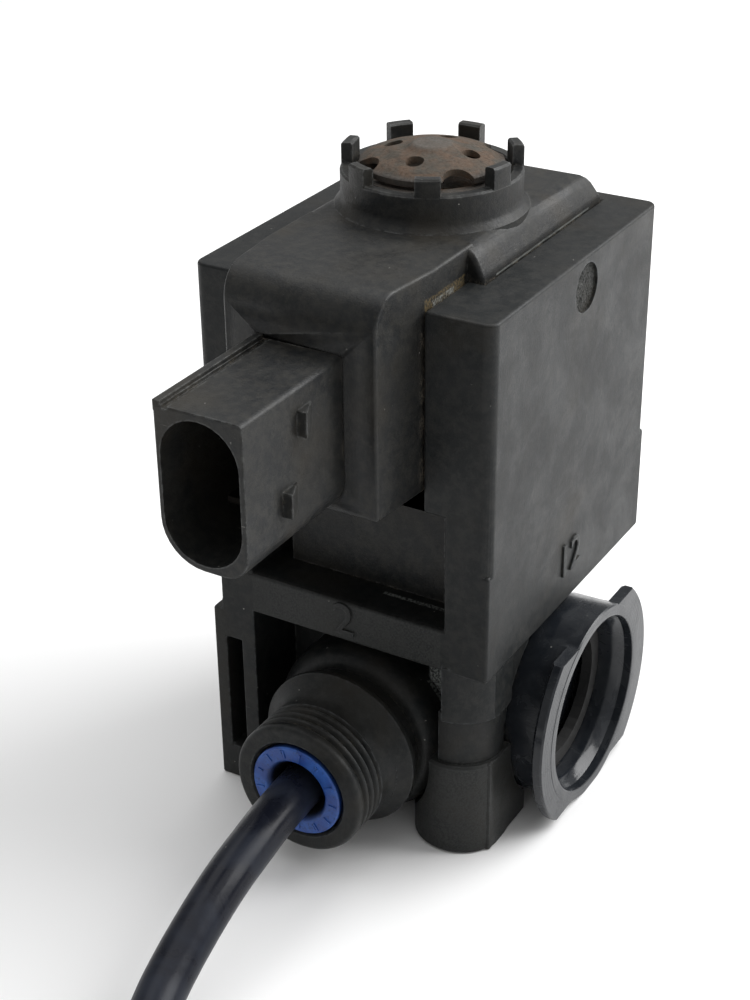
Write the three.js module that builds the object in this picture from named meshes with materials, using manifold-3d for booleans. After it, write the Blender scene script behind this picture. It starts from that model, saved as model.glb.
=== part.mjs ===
// Three-port, two-position solenoid valve for a vehicle air system, with its air line.
// Millimetres, +Z up. The origin is on the upright valve axis, at the flat base.
// -Y is the front (connector and port 2), +X is the side of port 12, +Z is the exhaust.
import * as THREE from "three";
import { mergeVertices } from "three/addons/utils/BufferGeometryUtils.js";
import Module from "manifold-3d";

const wasm = await Module();
wasm.setup();

// ---- Driving dimensions ----
const GAP = 0.3; // clearance between neighbouring pieces
const ROUND_STEPS = 32; // facets round a large circle
const SMALL_STEPS = 16; // facets round a small circle

const HALF_WIDTH = 22; // housing, side to side
const FRONT = -24.4; // housing front face
const BACK = 25.6; // housing back face
const HOUSING_BOTTOM = 30.4;
const HOUSING_TOP = 82;
const BAND_TOP = 43.7; // below this the housing corners are sharp
const BAND_LEFT = -20.5; // the lower band is set in on the left
const EDGE_RADIUS = 1.8;

const POCKET_FLOOR = 36.7; // floor of the coil pocket, top of the front cross beam
const POCKET_BACK = 22.6;
const POCKET_HALF = 15.4;
const WINDOW_HALF = 12.3; // upper part of the front window
const WINDOW_STEP = 54; // where the window widens downwards
const SHOULDER_BACK = -13; // rear end of the window's shoulders

const COIL_TOP = 86.4; // flat top of the raised coil cover
const COIL_EDGE_TOP = 84.2; // its side edges, where the top slopes down
const COIL_FACE = -18; // front of the lower coil cover, inside the window
const NOSE_FACE = -33.6; // front of the raised block that carries the connector
const NOSE_BOTTOM = 56.6;
const NOSE_HALF = 10.9; // at the front
const NOSE_ROUND = 4;

const SHROUD_FRONT = -55.2;
const SHROUD_HALF = 6.2;
const SHROUD_TOP = 78.4;
const SHROUD_BOTTOM = 57.5;
const SOCKET_HALF = 5.5; // plug socket inside the shroud
const SOCKET_BACK = -37;
const TERMINAL_PITCH = 8.4;
const SOCKET_MIDDLE = (SHROUD_TOP + SHROUD_BOTTOM) / 2;

const NECK_RADIUS = 12.2;
const NECK_INNER = 10.6;
const NECK_RIM = 91.2;
const TAB_TOP = 93.9;
const TAB_COUNT = 7;
const TAB_WIDTH = 3.3;
const FIRST_TAB = -64; // degrees from +X
const CUP_FLOOR = 87.4;

const DISC_RADIUS = 10;
const DISC_EDGE = 92.2;
const DISC_RISE = 2;

const PORT2_HEIGHT = 13.6; // axis of port 2, which runs along Y
const PORT2_BOSS_RADIUS = 13.2;
const PORT2_BOSS_FACE = -22.6;
const PORT2_COLLAR_RADIUS = 12;
const PORT2_BARREL_RADIUS = 9.9;
const PORT2_RIM = -37.6;
const COLLET_RADIUS = 6.8;
const COLLET_FACE = -37.9;

const LINE_DIAMETER = 6.35; // quarter-inch nylon air line
const LINE_SIDES = 10;
const LINE_STEPS = 32;

const PORT12_HEIGHT = 14.6; // axis of port 12, which runs along X
const PORT12_BARREL_RADIUS = 14.8;
const PORT12_FACE = 27.5;
const FLANGE_RADIUS = 17.9;
const FLANGE_HALF_HEIGHT = 13.2;
const FLANGE_THICKNESS = 1.8;

const STROKE = 1.2; // armature travel

// ---- Finishes ----
function finish(color, roughness, metalness = 0) {
  return new THREE.MeshStandardMaterial({ color, roughness, metalness });
}
const BLACK_NYLON = finish(0x1b1c1e, 0.62);
const COVER_NYLON = finish(0x222326, 0.58);
const GLOSS_NYLON = finish(0x101113, 0.22);
const BLUE_ACETAL = finish(0x2a56b0, 0.45);
const LINE_NYLON = finish(0x0d0f13, 0.3);
const RUSTY_STEEL = finish(0x6b4a35, 0.85, 0.3);
const STEEL = finish(0x9a9c9e, 0.4, 0.9);
const BRASS = finish(0xb08d4a, 0.35, 0.9);
const COPPER = finish(0x8a4a2a, 0.45, 0.8);
const RUBBER = finish(0x161616, 0.75);
const NATURAL_NYLON = finish(0xb9ae96, 0.6);

// ---- Solids: each helper returns a manifold-3d solid ----
function solid(geometry) {
  const bare = geometry.clone();
  bare.deleteAttribute("normal");
  bare.deleteAttribute("uv");
  const merged = mergeVertices(bare, 1e-4);
  const source = merged.index.array;
  const corners = [];
  for (let i = 0; i < source.length; i += 3) {
    const [a, b, c] = [source[i], source[i + 1], source[i + 2]];
    if (a !== b && b !== c && c !== a) corners.push(a, b, c);
  }
  const build = (order) =>
    new wasm.Manifold(
      new wasm.Mesh({
        numProp: 3,
        vertProperties: new Float32Array(merged.attributes.position.array),
        triVerts: new Uint32Array(order),
      }),
    );
  const made = build(corners);
  if (made.volume() > 0) return made;
  for (let i = 0; i < corners.length; i += 3) {
    [corners[i], corners[i + 1]] = [corners[i + 1], corners[i]];
  }
  return build(corners);
}

function block(x0, x1, y0, y1, z0, z1) {
  const box = new THREE.BoxGeometry(x1 - x0, y1 - y0, z1 - z0);
  box.translate((x0 + x1) / 2, (y0 + y1) / 2, (z0 + z1) / 2);
  return solid(box);
}

// A rectangle with its own radius at each corner, in the order of the corners:
// low-low, high-low, high-high, low-high.
function roundedRectangle(u0, u1, v0, v1, radii) {
  const [a, b, c, d] = radii;
  const shape = new THREE.Shape();
  shape.moveTo(u0 + a, v0);
  shape.lineTo(u1 - b, v0);
  if (b) shape.absarc(u1 - b, v0 + b, b, -Math.PI / 2, 0);
  shape.lineTo(u1, v1 - c);
  if (c) shape.absarc(u1 - c, v1 - c, c, 0, Math.PI / 2);
  shape.lineTo(u0 + d, v1);
  if (d) shape.absarc(u0 + d, v1 - d, d, Math.PI / 2, Math.PI);
  shape.lineTo(u0, v0 + a);
  if (a) shape.absarc(u0 + a, v0 + a, a, Math.PI, Math.PI * 1.5);
  return shape;
}

function polygon(points) {
  return new THREE.Shape(points.map(([u, v]) => new THREE.Vector2(u, v)));
}

// Prisms: an outline in XY raised along Z, in XZ along Y, or in YZ along X.
function prismZ(shape, z0, z1, curveSegments = 6) {
  const made = new THREE.ExtrudeGeometry(shape, {
    depth: z1 - z0,
    bevelEnabled: false,
    curveSegments,
  });
  made.translate(0, 0, z0);
  return solid(made);
}

function prismY(shape, y0, y1, curveSegments = 6) {
  const made = new THREE.ExtrudeGeometry(shape, {
    depth: y1 - y0,
    bevelEnabled: false,
    curveSegments,
  });
  made.rotateX(Math.PI / 2);
  made.translate(0, y1, 0);
  return solid(made);
}

function prismX(shape, x0, x1, curveSegments = 6) {
  const made = new THREE.ExtrudeGeometry(shape, {
    depth: x1 - x0,
    bevelEnabled: false,
    curveSegments,
  });
  made.rotateX(Math.PI / 2);
  made.rotateZ(Math.PI / 2);
  made.translate(x0, 0, 0);
  return solid(made);
}

// Turned pieces: a closed outline of [radius, distance along the axis].
function turned(points, steps) {
  const outline = points.map(([r, along]) => new THREE.Vector2(r, along));
  if (points[0][0] > 0) outline.push(outline[0].clone());
  return new THREE.LatheGeometry(outline, steps);
}

function turnedZ(points, steps = SMALL_STEPS, x = 0, y = 0) {
  return solid(turned(points, steps).rotateX(Math.PI / 2).translate(x, y, 0));
}

function turnedY(points, height, steps = ROUND_STEPS) {
  return solid(turned(points, steps).translate(0, 0, height));
}

function turnedX(points, height, steps = ROUND_STEPS) {
  return solid(turned(points, steps).rotateZ(-Math.PI / 2).translate(0, 0, height));
}

function rodOutline(radius, from, to) {
  return [
    [0, from],
    [radius, from],
    [radius, to],
    [0, to],
  ];
}

function ringOutline(inner, outer, from, to) {
  return [
    [inner, from],
    [outer, from],
    [outer, to],
    [inner, to],
  ];
}

const valve = new THREE.Group();

function place(name, body, material) {
  const made = body.getMesh();
  const geometry = new THREE.BufferGeometry();
  geometry.setAttribute(
    "position",
    new THREE.BufferAttribute(new Float32Array(made.vertProperties), 3),
  );
  geometry.setIndex(new THREE.BufferAttribute(new Uint32Array(made.triVerts), 1));
  geometry.computeVertexNormals();
  const mesh = new THREE.Mesh(geometry, material);
  mesh.name = name;
  valve.add(mesh);
}

// ---- Valve body: one moulding with the coil housing above and the ports below ----
const LEG_INSIDE = -15;
const SLIT = { left: -19.9, right: -17.4, bottom: 5.7, top: 24.8, depth: 13 };
const BOSS = { x: 15.2, y: -17.9, radius: 6.7, side: 21.4 };
const BOLT_RADIUS = 2.65;
const NUT_SLOT = { bottom: 16.8, top: 22.9, depth: 3.4 };
const SEAT_BORE = 9;
const SEAT_FLOOR = 32.4;

function housing() {
  const corners = [EDGE_RADIUS, EDGE_RADIUS, EDGE_RADIUS, EDGE_RADIUS];
  const upper = prismZ(
    roundedRectangle(-HALF_WIDTH, HALF_WIDTH, FRONT, BACK, corners),
    BAND_TOP,
    HOUSING_TOP,
    3,
  );
  const band = block(BAND_LEFT, HALF_WIDTH, FRONT, BACK, HOUSING_BOTTOM, BAND_TOP);
  const lowerPocket = block(
    -POCKET_HALF, POCKET_HALF, FRONT - 1, POCKET_BACK, POCKET_FLOOR, WINDOW_STEP,
  );
  const upperWindow = block(
    -WINDOW_HALF, WINDOW_HALF, FRONT - 1, SHOULDER_BACK + 1, WINDOW_STEP - 1, HOUSING_TOP + 1,
  );
  const upperPocket = block(
    -POCKET_HALF, POCKET_HALF, SHOULDER_BACK, POCKET_BACK, WINDOW_STEP - 1, HOUSING_TOP + 1,
  );
  return upper.add(band).subtract(lowerPocket).subtract(upperWindow).subtract(upperPocket);
}

function lockPinHoles() {
  const hole = rodOutline(LOCK_PIN.radius + GAP, POCKET_HALF - 1, HALF_WIDTH + 1);
  const right = turnedX(hole, LOCK_PIN.z, SMALL_STEPS).translate([0, LOCK_PIN.y, 0]);
  return right.add(right.mirror([1, 0, 0]));
}

function leftLeg() {
  const leg = block(-HALF_WIDTH, LEG_INSIDE, FRONT, BACK - 10, 0, HOUSING_BOTTOM - 1)
    .add(block(BAND_LEFT, LEG_INSIDE, FRONT, BACK - 10, HOUSING_BOTTOM - 2, HOUSING_BOTTOM + 1));
  return leg.subtract(
    block(SLIT.left, SLIT.right, FRONT - 1, FRONT + SLIT.depth, SLIT.bottom, SLIT.top),
  );
}

function boltBoss() {
  const round = turnedZ(
    rodOutline(BOSS.radius, 0, NUT_SLOT.bottom), ROUND_STEPS, BOSS.x, BOSS.y,
  );
  const corner = block(BOSS.x, BOSS.side, BOSS.y - 3.4, BOSS.y + 8, 0, NUT_SLOT.bottom);
  const web = block(BOSS.x - 6, BOSS.side - 1, BOSS.y + 1, -8, 0, HOUSING_BOTTOM + 1);
  const panel = block(
    16.4, HALF_WIDTH, FRONT, BOSS.y + 8, NUT_SLOT.top, HOUSING_BOTTOM + 1,
  );
  const stem = block(
    BOSS.x - 0.4, HALF_WIDTH - 1, FRONT + NUT_SLOT.depth, BOSS.y + 8,
    NUT_SLOT.bottom - 1, NUT_SLOT.top + 1,
  );
  const bolt = turnedZ(
    rodOutline(BOLT_RADIUS, -1, NUT_SLOT.bottom + 1), SMALL_STEPS, BOSS.x, BOSS.y,
  );
  const trim = block(BOSS.side, BOSS.side + 5, -40, 20, -1, NUT_SLOT.bottom);
  return round.add(corner).add(web).add(panel).add(stem).subtract(bolt).subtract(trim);
}

function rearBoss() {
  const round = turnedZ(
    rodOutline(BOSS.radius, 0, HOUSING_BOTTOM + 1), ROUND_STEPS, -BOSS.x, -BOSS.y,
  );
  const bolt = turnedZ(
    rodOutline(BOLT_RADIUS, -1, NUT_SLOT.bottom + 1), SMALL_STEPS, -BOSS.x, -BOSS.y,
  );
  return round.subtract(bolt);
}

// Drilled passages: port 12 to the seat's nozzle, port 2 to the chamber round it.
function passages() {
  const seatBore = turnedZ(rodOutline(SEAT_BORE, SEAT_FLOOR, POCKET_FLOOR + 1), ROUND_STEPS);
  const supplyRise = turnedZ(rodOutline(1.6, PORT12_HEIGHT - 1, SEAT_FLOOR + 1));
  const supplyRun = turnedX(rodOutline(1.8, -1, 12), PORT12_HEIGHT, SMALL_STEPS);
  const outletRise = turnedZ(rodOutline(1.4, PORT2_HEIGHT - 1, SEAT_FLOOR + 1), SMALL_STEPS, 0, -5);
  const outletRun = turnedY(rodOutline(1.8, -17, -4.4), PORT2_HEIGHT, SMALL_STEPS);
  return seatBore.add(supplyRise).add(supplyRun).add(outletRise).add(outletRun);
}

const SPIGOT = { radius: 9.7, end: 9.3, bore: 10 };
const BARREL_JOINT = 17.2; // where the port 12 socket meets the body's own boss
const CARTRIDGE = { radius: 8, end: -14.3, bore: 8.3 };
const LOCK_PIN = { radius: 3.1, y: 2.2, z: 77 };

function valveBody() {
  const core = block(-16, 13, -14, 20, 0, HOUSING_BOTTOM + 1);
  const port2Boss = turnedY(
    rodOutline(PORT2_BOSS_RADIUS, PORT2_BOSS_FACE, -13), PORT2_HEIGHT,
  );
  const port12Boss = turnedX(
    rodOutline(PORT12_BARREL_RADIUS + 0.3, 8, BARREL_JOINT), PORT12_HEIGHT,
  );
  const socketRoom = turnedX(
    rodOutline(PORT12_BARREL_RADIUS + 0.4, BARREL_JOINT, 40), PORT12_HEIGHT,
  );
  const floorTrim = block(-60, 60, -60, 60, -10, 0);
  const port2Bore = turnedY(
    rodOutline(CARTRIDGE.bore, PORT2_BOSS_FACE - 1, CARTRIDGE.end + GAP), PORT2_HEIGHT,
  );
  const port12Bore = turnedX(
    rodOutline(SPIGOT.bore, SPIGOT.end - GAP, BARREL_JOINT + 1), PORT12_HEIGHT,
  );
  return housing()
    .add(core)
    .add(leftLeg())
    .add(boltBoss())
    .add(rearBoss())
    .add(port2Boss)
    .add(port12Boss)
    .subtract(socketRoom)
    .subtract(floorTrim)
    .subtract(port2Bore)
    .subtract(port12Bore)
    .subtract(lockPinHoles())
    .subtract(passages());
}

// ---- Coil cover: overmoulded cover with connector shroud, exhaust neck and tabs ----
const CAVITY = { half: 11.6, front: -11.6, back: 14.6, top: 80.4 };
const CORE_HOLE = 6.3;

function coverBody() {
  const half = POCKET_HALF - GAP;
  const slope = polygon([
    [-half, POCKET_FLOOR + GAP],
    [half, POCKET_FLOOR + GAP],
    [half, COIL_EDGE_TOP],
    [half - 3.4, COIL_TOP],
    [3.4 - half, COIL_TOP],
    [-half, COIL_EDGE_TOP],
  ]);
  const rear = prismY(slope, SHOULDER_BACK + GAP, POCKET_BACK - GAP);
  const foot = block(
    GAP - WINDOW_HALF, WINDOW_HALF - GAP, COIL_FACE, SHOULDER_BACK + 1,
    POCKET_FLOOR + GAP, NOSE_BOTTOM + 1,
  );
  return rear.add(foot);
}

// The raised block narrows towards the front and has a large radius along its top edge.
function nose() {
  const side = roundedRectangle(
    NOSE_FACE, SHOULDER_BACK + 2, NOSE_BOTTOM, COIL_TOP, [0.6, 0, 0, NOSE_ROUND],
  );
  const half = WINDOW_HALF - GAP;
  const plan = new THREE.Shape();
  plan.moveTo(half, SHOULDER_BACK + 3);
  plan.lineTo(half, FRONT + 3);
  plan.lineTo(NOSE_HALF + 0.15, NOSE_FACE + 1.2);
  plan.quadraticCurveTo(NOSE_HALF, NOSE_FACE, NOSE_HALF - 1.2, NOSE_FACE);
  plan.lineTo(1.2 - NOSE_HALF, NOSE_FACE);
  plan.quadraticCurveTo(-NOSE_HALF, NOSE_FACE, -NOSE_HALF - 0.15, NOSE_FACE + 1.2);
  plan.lineTo(-half, FRONT + 3);
  plan.lineTo(-half, SHOULDER_BACK + 3);
  return prismX(side, -half - 1, half + 1).intersect(
    prismZ(plan, NOSE_BOTTOM - 1, COIL_TOP + 1, 4),
  );
}

function shroud() {
  const outer = roundedRectangle(
    -SHROUD_HALF, SHROUD_HALF, SHROUD_BOTTOM, SHROUD_TOP, [SHROUD_HALF - 0.1, 3.5, 0.6, 0.6],
  );
  const rail = block(-SHROUD_HALF, 1.1 - SHROUD_HALF, SHROUD_FRONT, NOSE_FACE + 1,
    SHROUD_TOP - 1, SHROUD_TOP + 0.5);
  const groove = block(1.3 - SHROUD_HALF, 2.2 - SHROUD_HALF, SHROUD_FRONT - 1, NOSE_FACE,
    SHROUD_TOP - 0.5, SHROUD_TOP + 1);
  let body = prismY(outer, SHROUD_FRONT, NOSE_FACE + 1).add(rail).subtract(groove);
  for (const ramp of [{ y: -42.3, z: 73.7 }, { y: -45.9, z: 64.6 }]) {
    const wedge = polygon([
      [SHROUD_HALF - 0.5, ramp.y - 1.4],
      [SHROUD_HALF, ramp.y - 1.4],
      [SHROUD_HALF + 1, ramp.y + 1.4],
      [SHROUD_HALF - 0.5, ramp.y + 1.4],
    ]);
    body = body.add(prismZ(wedge, ramp.z - 1.7, ramp.z + 1.7));
  }
  return body;
}

function plugSocket() {
  const low = SHROUD_BOTTOM + 0.9;
  const high = SHROUD_TOP - 1;
  const radii = [SOCKET_HALF, SOCKET_HALF, SOCKET_HALF, SOCKET_HALF].map((r) => r - 0.05);
  return prismY(
    roundedRectangle(-SOCKET_HALF, SOCKET_HALF, low, high, radii),
    SHROUD_FRONT - 1, SOCKET_BACK, 8,
  );
}

function neck() {
  const wall = turnedZ(
    [
      [0, COIL_TOP - 1],
      [NECK_RADIUS + 1.5, COIL_TOP - 1],
      [NECK_RADIUS + 1.4, COIL_TOP + 0.1],
      [NECK_RADIUS + 0.4, COIL_TOP + 0.6],
      [NECK_RADIUS, COIL_TOP + 1.4],
      [NECK_RADIUS, TAB_TOP],
      [0, TAB_TOP],
    ],
    ROUND_STEPS + 10,
  );
  const cup = turnedZ(rodOutline(NECK_INNER, CUP_FLOOR, TAB_TOP + 1), ROUND_STEPS + 10);
  let keep = block(-20, 20, -20, 20, COIL_TOP - 2, NECK_RIM);
  for (let i = 0; i < TAB_COUNT; i += 1) {
    const angle = FIRST_TAB + (360 / TAB_COUNT) * i;
    const tab = block(5, 20, -TAB_WIDTH / 2, TAB_WIDTH / 2, NECK_RIM - 1, TAB_TOP + 1);
    keep = keep.add(tab.rotate([0, 0, angle]));
  }
  return wall.intersect(keep).subtract(cup);
}

function terminalSlots() {
  const slots = TERMINAL_HEIGHTS.map((z) =>
    block(-1.7, 1.7, SOCKET_BACK - 1, CAVITY.front + 1, z - 0.7, z + 0.7),
  );
  return slots[0].add(slots[1]);
}

function coilCover() {
  const cavity = block(
    -CAVITY.half, CAVITY.half, CAVITY.front, CAVITY.back, POCKET_FLOOR, CAVITY.top,
  );
  const coreHole = turnedZ(rodOutline(CORE_HOLE, CAVITY.top - 1, CUP_FLOOR + 1));
  const cup = turnedZ(rodOutline(NECK_INNER, CUP_FLOOR, TAB_TOP + 1), ROUND_STEPS + 10);
  const pinHole = turnedX(rodOutline(LOCK_PIN.radius + GAP, POCKET_HALF - 2.2, 20),
    LOCK_PIN.z, SMALL_STEPS).translate([0, LOCK_PIN.y, 0]);
  return coverBody()
    .add(nose())
    .add(shroud())
    .add(neck())
    .subtract(cup)
    .subtract(plugSocket())
    .subtract(cavity)
    .subtract(coreHole)
    .subtract(terminalSlots())
    .subtract(pinHole)
    .subtract(pinHole.mirror([1, 0, 0]));
}

// ---- Solenoid: bobbin, winding, steel circuit, guide tube, core and armature ----
const TERMINAL_HEIGHTS = [
  SOCKET_MIDDLE - TERMINAL_PITCH / 2,
  SOCKET_MIDDLE + TERMINAL_PITCH / 2,
];
const YOKE = { half: 11, front: -11, back: 14.2, bottom: 38.8, top: 80, plate: 1.8 };
const TUBE = { inner: 5.9, outer: 6.4, bottom: 37.2, top: 78.5 };
const YOKE_HOLE = TUBE.outer + GAP;
const ARMATURE = { radius: 5.6, bottom: 41.4, shoulder: 57, top: 61, neck: 3.6 };
const CORE = { radius: 5.6, bottom: 64, nozzle: ARMATURE.top + 0.6 + STROKE + GAP, top: 86.8 };
const SPRING = { radius: 4.6, wire: 0.35, bottom: 57.4, top: 63.6, turns: 5 };
const NOZZLE_TOP = 40.5;

function terminal(z) {
  return block(-1.4, 1.4, SOCKET_BACK - 11, CAVITY.front + 0.3, z - 0.4, z + 0.4);
}

function yokeFrame() {
  const plates = [YOKE.bottom, YOKE.top - YOKE.plate].map((z) =>
    block(-YOKE.half, YOKE.half, YOKE.front, YOKE.back, z, z + YOKE.plate),
  );
  const leg = block(
    -YOKE.half, YOKE.half, YOKE.back - YOKE.plate, YOKE.back, YOKE.bottom, YOKE.top,
  );
  const hole = turnedZ(rodOutline(YOKE_HOLE, YOKE.bottom - 1, YOKE.top + 1));
  return plates[0].add(plates[1]).add(leg).subtract(hole);
}

const BOBBIN_BOTTOM = YOKE.bottom + YOKE.plate + GAP;
const BOBBIN_TOP = YOKE.top - YOKE.plate - GAP;
const BOBBIN_FLANGE = { radius: 10.6, thickness: 1.2 };

function bobbin() {
  const inner = TUBE.outer + GAP;
  const drum = 7.6;
  const { radius, thickness } = BOBBIN_FLANGE;
  return turnedZ([
    [inner, BOBBIN_BOTTOM],
    [radius, BOBBIN_BOTTOM],
    [radius, BOBBIN_BOTTOM + thickness],
    [drum, BOBBIN_BOTTOM + thickness],
    [drum, BOBBIN_TOP - thickness],
    [radius, BOBBIN_TOP - thickness],
    [radius, BOBBIN_TOP],
    [inner, BOBBIN_TOP],
  ]);
}

function winding() {
  const { thickness } = BOBBIN_FLANGE;
  return turnedZ(ringOutline(
    7.9, 10.3, BOBBIN_BOTTOM + thickness + GAP, BOBBIN_TOP - thickness - GAP,
  ));
}

function guideTube() {
  return turnedZ([
    [TUBE.inner, TUBE.bottom],
    [8.8, TUBE.bottom],
    [8.8, TUBE.bottom + 1],
    [TUBE.outer, TUBE.bottom + 1],
    [TUBE.outer, TUBE.top],
    [TUBE.inner, TUBE.top],
  ]);
}

function fixedCore() {
  return turnedZ([
    [1, CORE.nozzle],
    [1.8, CORE.nozzle],
    [2.2, CORE.bottom],
    [CORE.radius, CORE.bottom],
    [CORE.radius, TUBE.top + GAP],
    [5.9, TUBE.top + GAP],
    [5.9, 84],
    [5, 84],
    [5, CORE.top],
    [1, CORE.top],
  ]);
}

function coreSeal() {
  return turnedZ(ringOutline(5.3, 6, 84.4, 86));
}

function armature() {
  const { radius, bottom, shoulder, top, neck: waist } = ARMATURE;
  const turnedBlank = turnedZ([
    [0, bottom + 1.6],
    [2.9, bottom + 1.6],
    [2.9, bottom],
    [radius, bottom],
    [radius, shoulder],
    [waist, shoulder],
    [waist, top],
    [2.7, top],
    [2.7, top - 1.8],
    [0, top - 1.8],
  ]);
  const flutes = block(-7, -5, -1, 1, bottom - 1, shoulder + 1);
  return turnedBlank.subtract(flutes).subtract(flutes.mirror([1, 0, 0]));
}

function lowerSeal() {
  return turnedZ(rodOutline(2.6, NOZZLE_TOP + GAP, ARMATURE.bottom + 1.3));
}

function upperSeal() {
  return turnedZ(rodOutline(2.4, ARMATURE.top - 1.5, ARMATURE.top + 0.6));
}

class SpringPath extends THREE.Curve {
  getPoint(t, target = new THREE.Vector3()) {
    const angle = t * SPRING.turns * Math.PI * 2;
    return target.set(
      SPRING.radius * Math.cos(angle),
      SPRING.radius * Math.sin(angle),
      SPRING.bottom + SPRING.wire + t * (SPRING.top - SPRING.bottom - 2 * SPRING.wire),
    );
  }
}

function returnSpring() {
  const section = new THREE.Shape();
  section.absarc(0, 0, SPRING.wire, 0, Math.PI * 2);
  return solid(new THREE.ExtrudeGeometry(section, {
    extrudePath: new SpringPath(),
    steps: SPRING.turns * 10,
    curveSegments: 3,
    bevelEnabled: false,
  }));
}

function seatInsert() {
  const blank = turnedZ([
    [0.8, SEAT_FLOOR + GAP],
    [SEAT_BORE - GAP, SEAT_FLOOR + GAP],
    [SEAT_BORE - GAP, POCKET_FLOOR - 0.4],
    [2.2, POCKET_FLOOR - 0.4],
    [1.5, NOZZLE_TOP],
    [0.8, NOZZLE_TOP],
  ]);
  const outlet = turnedZ(rodOutline(1, SEAT_FLOOR - 1, POCKET_FLOOR + 1), 12, 0, -5);
  return blank.subtract(outlet).subtract(outlet.mirror([0, 1, 0]));
}

// ---- Exhaust: perforated cap and screen in the neck ----
const HOLE_CIRCLE = 5.6;
const HOLE_RADIUS = 1.1;
const NOTCH_RADIUS = 2.2;
const FIRST_HOLE = 5; // degrees from +X

function exhaustCap() {
  const sphere = (DISC_RADIUS ** 2 + DISC_RISE ** 2) / (2 * DISC_RISE);
  const centre = DISC_EDGE + DISC_RISE - sphere;
  const arc = (radius, drop) =>
    Array.from({ length: 5 }, (_, i) => {
      const r = (DISC_RADIUS * i) / 4;
      return [r, centre + Math.sqrt(radius ** 2 - r ** 2) - drop];
    });
  const top = arc(sphere, 0).reverse();
  const underside = arc(sphere, 0.8);
  let cap = turnedZ([...underside, ...top], ROUND_STEPS);
  for (let i = 0; i < 4; i += 1) {
    const holeAngle = THREE.MathUtils.degToRad(FIRST_HOLE + 90 * i);
    const notchAngle = THREE.MathUtils.degToRad(FIRST_HOLE + 45 + 90 * i);
    const hole = turnedZ(
      rodOutline(HOLE_RADIUS, CUP_FLOOR, TAB_TOP + 5), 10,
      HOLE_CIRCLE * Math.cos(holeAngle), HOLE_CIRCLE * Math.sin(holeAngle),
    );
    const notch = turnedZ(
      rodOutline(NOTCH_RADIUS, CUP_FLOOR, TAB_TOP + 5), 16,
      DISC_RADIUS * Math.cos(notchAngle), DISC_RADIUS * Math.sin(notchAngle),
    );
    cap = cap.subtract(hole).subtract(notch);
  }
  return cap;
}

function exhaustScreen() {
  return turnedZ(ringOutline(1.6, NECK_INNER - GAP, CUP_FLOOR + GAP, CUP_FLOOR + 1.5), ROUND_STEPS);
}

// A thin spacer ring carries the cap above the screen.
function capRing() {
  return turnedZ(ringOutline(8.8, NECK_INNER - GAP, CUP_FLOOR + 1.8, DISC_EDGE - 1.2), ROUND_STEPS);
}

function lockPin() {
  return turnedX(
    rodOutline(LOCK_PIN.radius, POCKET_HALF - 1.8, HALF_WIDTH - 0.1), LOCK_PIN.z, SMALL_STEPS,
  ).translate([0, LOCK_PIN.y, 0]);
}

// ---- Port 2: push-in cartridge, grip ring, seal and release collet ----
const COLLET = { sleeve: 4.9, bore: 3.5, back: -36.2, end: -29 };
const TUBE_STOP = -19.7;
const RIDGES = 4;

function port2Cartridge() {
  const barrel = PORT2_BARREL_RADIUS;
  const root = barrel - 0.8;
  const ridges = [];
  for (let i = 0; i < RIDGES; i += 1) {
    const y = PORT2_RIM + 1.5 + 1.35 * i;
    ridges.push([barrel, y - 0.4], [root, y], [barrel, y + 0.5]);
  }
  return turnedY(
    [
      [COLLET_RADIUS + GAP, PORT2_RIM],
      [barrel - 0.5, PORT2_RIM],
      [barrel, PORT2_RIM + 0.5],
      ...ridges,
      [9.4, -31.2],
      [9.6, -29.2],
      [10.6, -27.2],
      [PORT2_COLLAR_RADIUS, -26.2],
      [PORT2_COLLAR_RADIUS, -25.6],
      [9.6, PORT2_BOSS_FACE - GAP],
      [CARTRIDGE.radius, PORT2_BOSS_FACE - GAP],
      [CARTRIDGE.radius, CARTRIDGE.end],
      [2.2, CARTRIDGE.end],
      [2.2, TUBE_STOP],
      [COLLET.bore, TUBE_STOP],
      [COLLET.bore, -24.2],
      [COLLET.sleeve + GAP, -24.2],
      [COLLET.sleeve + GAP, -34.6],
      [COLLET_RADIUS + GAP, -34.6],
    ],
    PORT2_HEIGHT,
  );
}

function releaseCollet() {
  return turnedY(
    [
      [4.5, COLLET_FACE],
      [COLLET_RADIUS - 0.3, COLLET_FACE],
      [COLLET_RADIUS, COLLET_FACE + 0.3],
      [COLLET_RADIUS, COLLET.back],
      [COLLET.sleeve, COLLET.back],
      [COLLET.sleeve, COLLET.end],
      [COLLET.bore, COLLET.end],
      [COLLET.bore, COLLET_FACE + 1],
    ],
    PORT2_HEIGHT,
  );
}

function gripRing() {
  return turnedY(ringOutline(COLLET.bore, COLLET.sleeve, -27.2, -26.8), PORT2_HEIGHT, SMALL_STEPS);
}

function lineSeal() {
  return turnedY(ringOutline(COLLET.bore, COLLET.sleeve, -26.4, -24.6), PORT2_HEIGHT, SMALL_STEPS);
}

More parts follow.
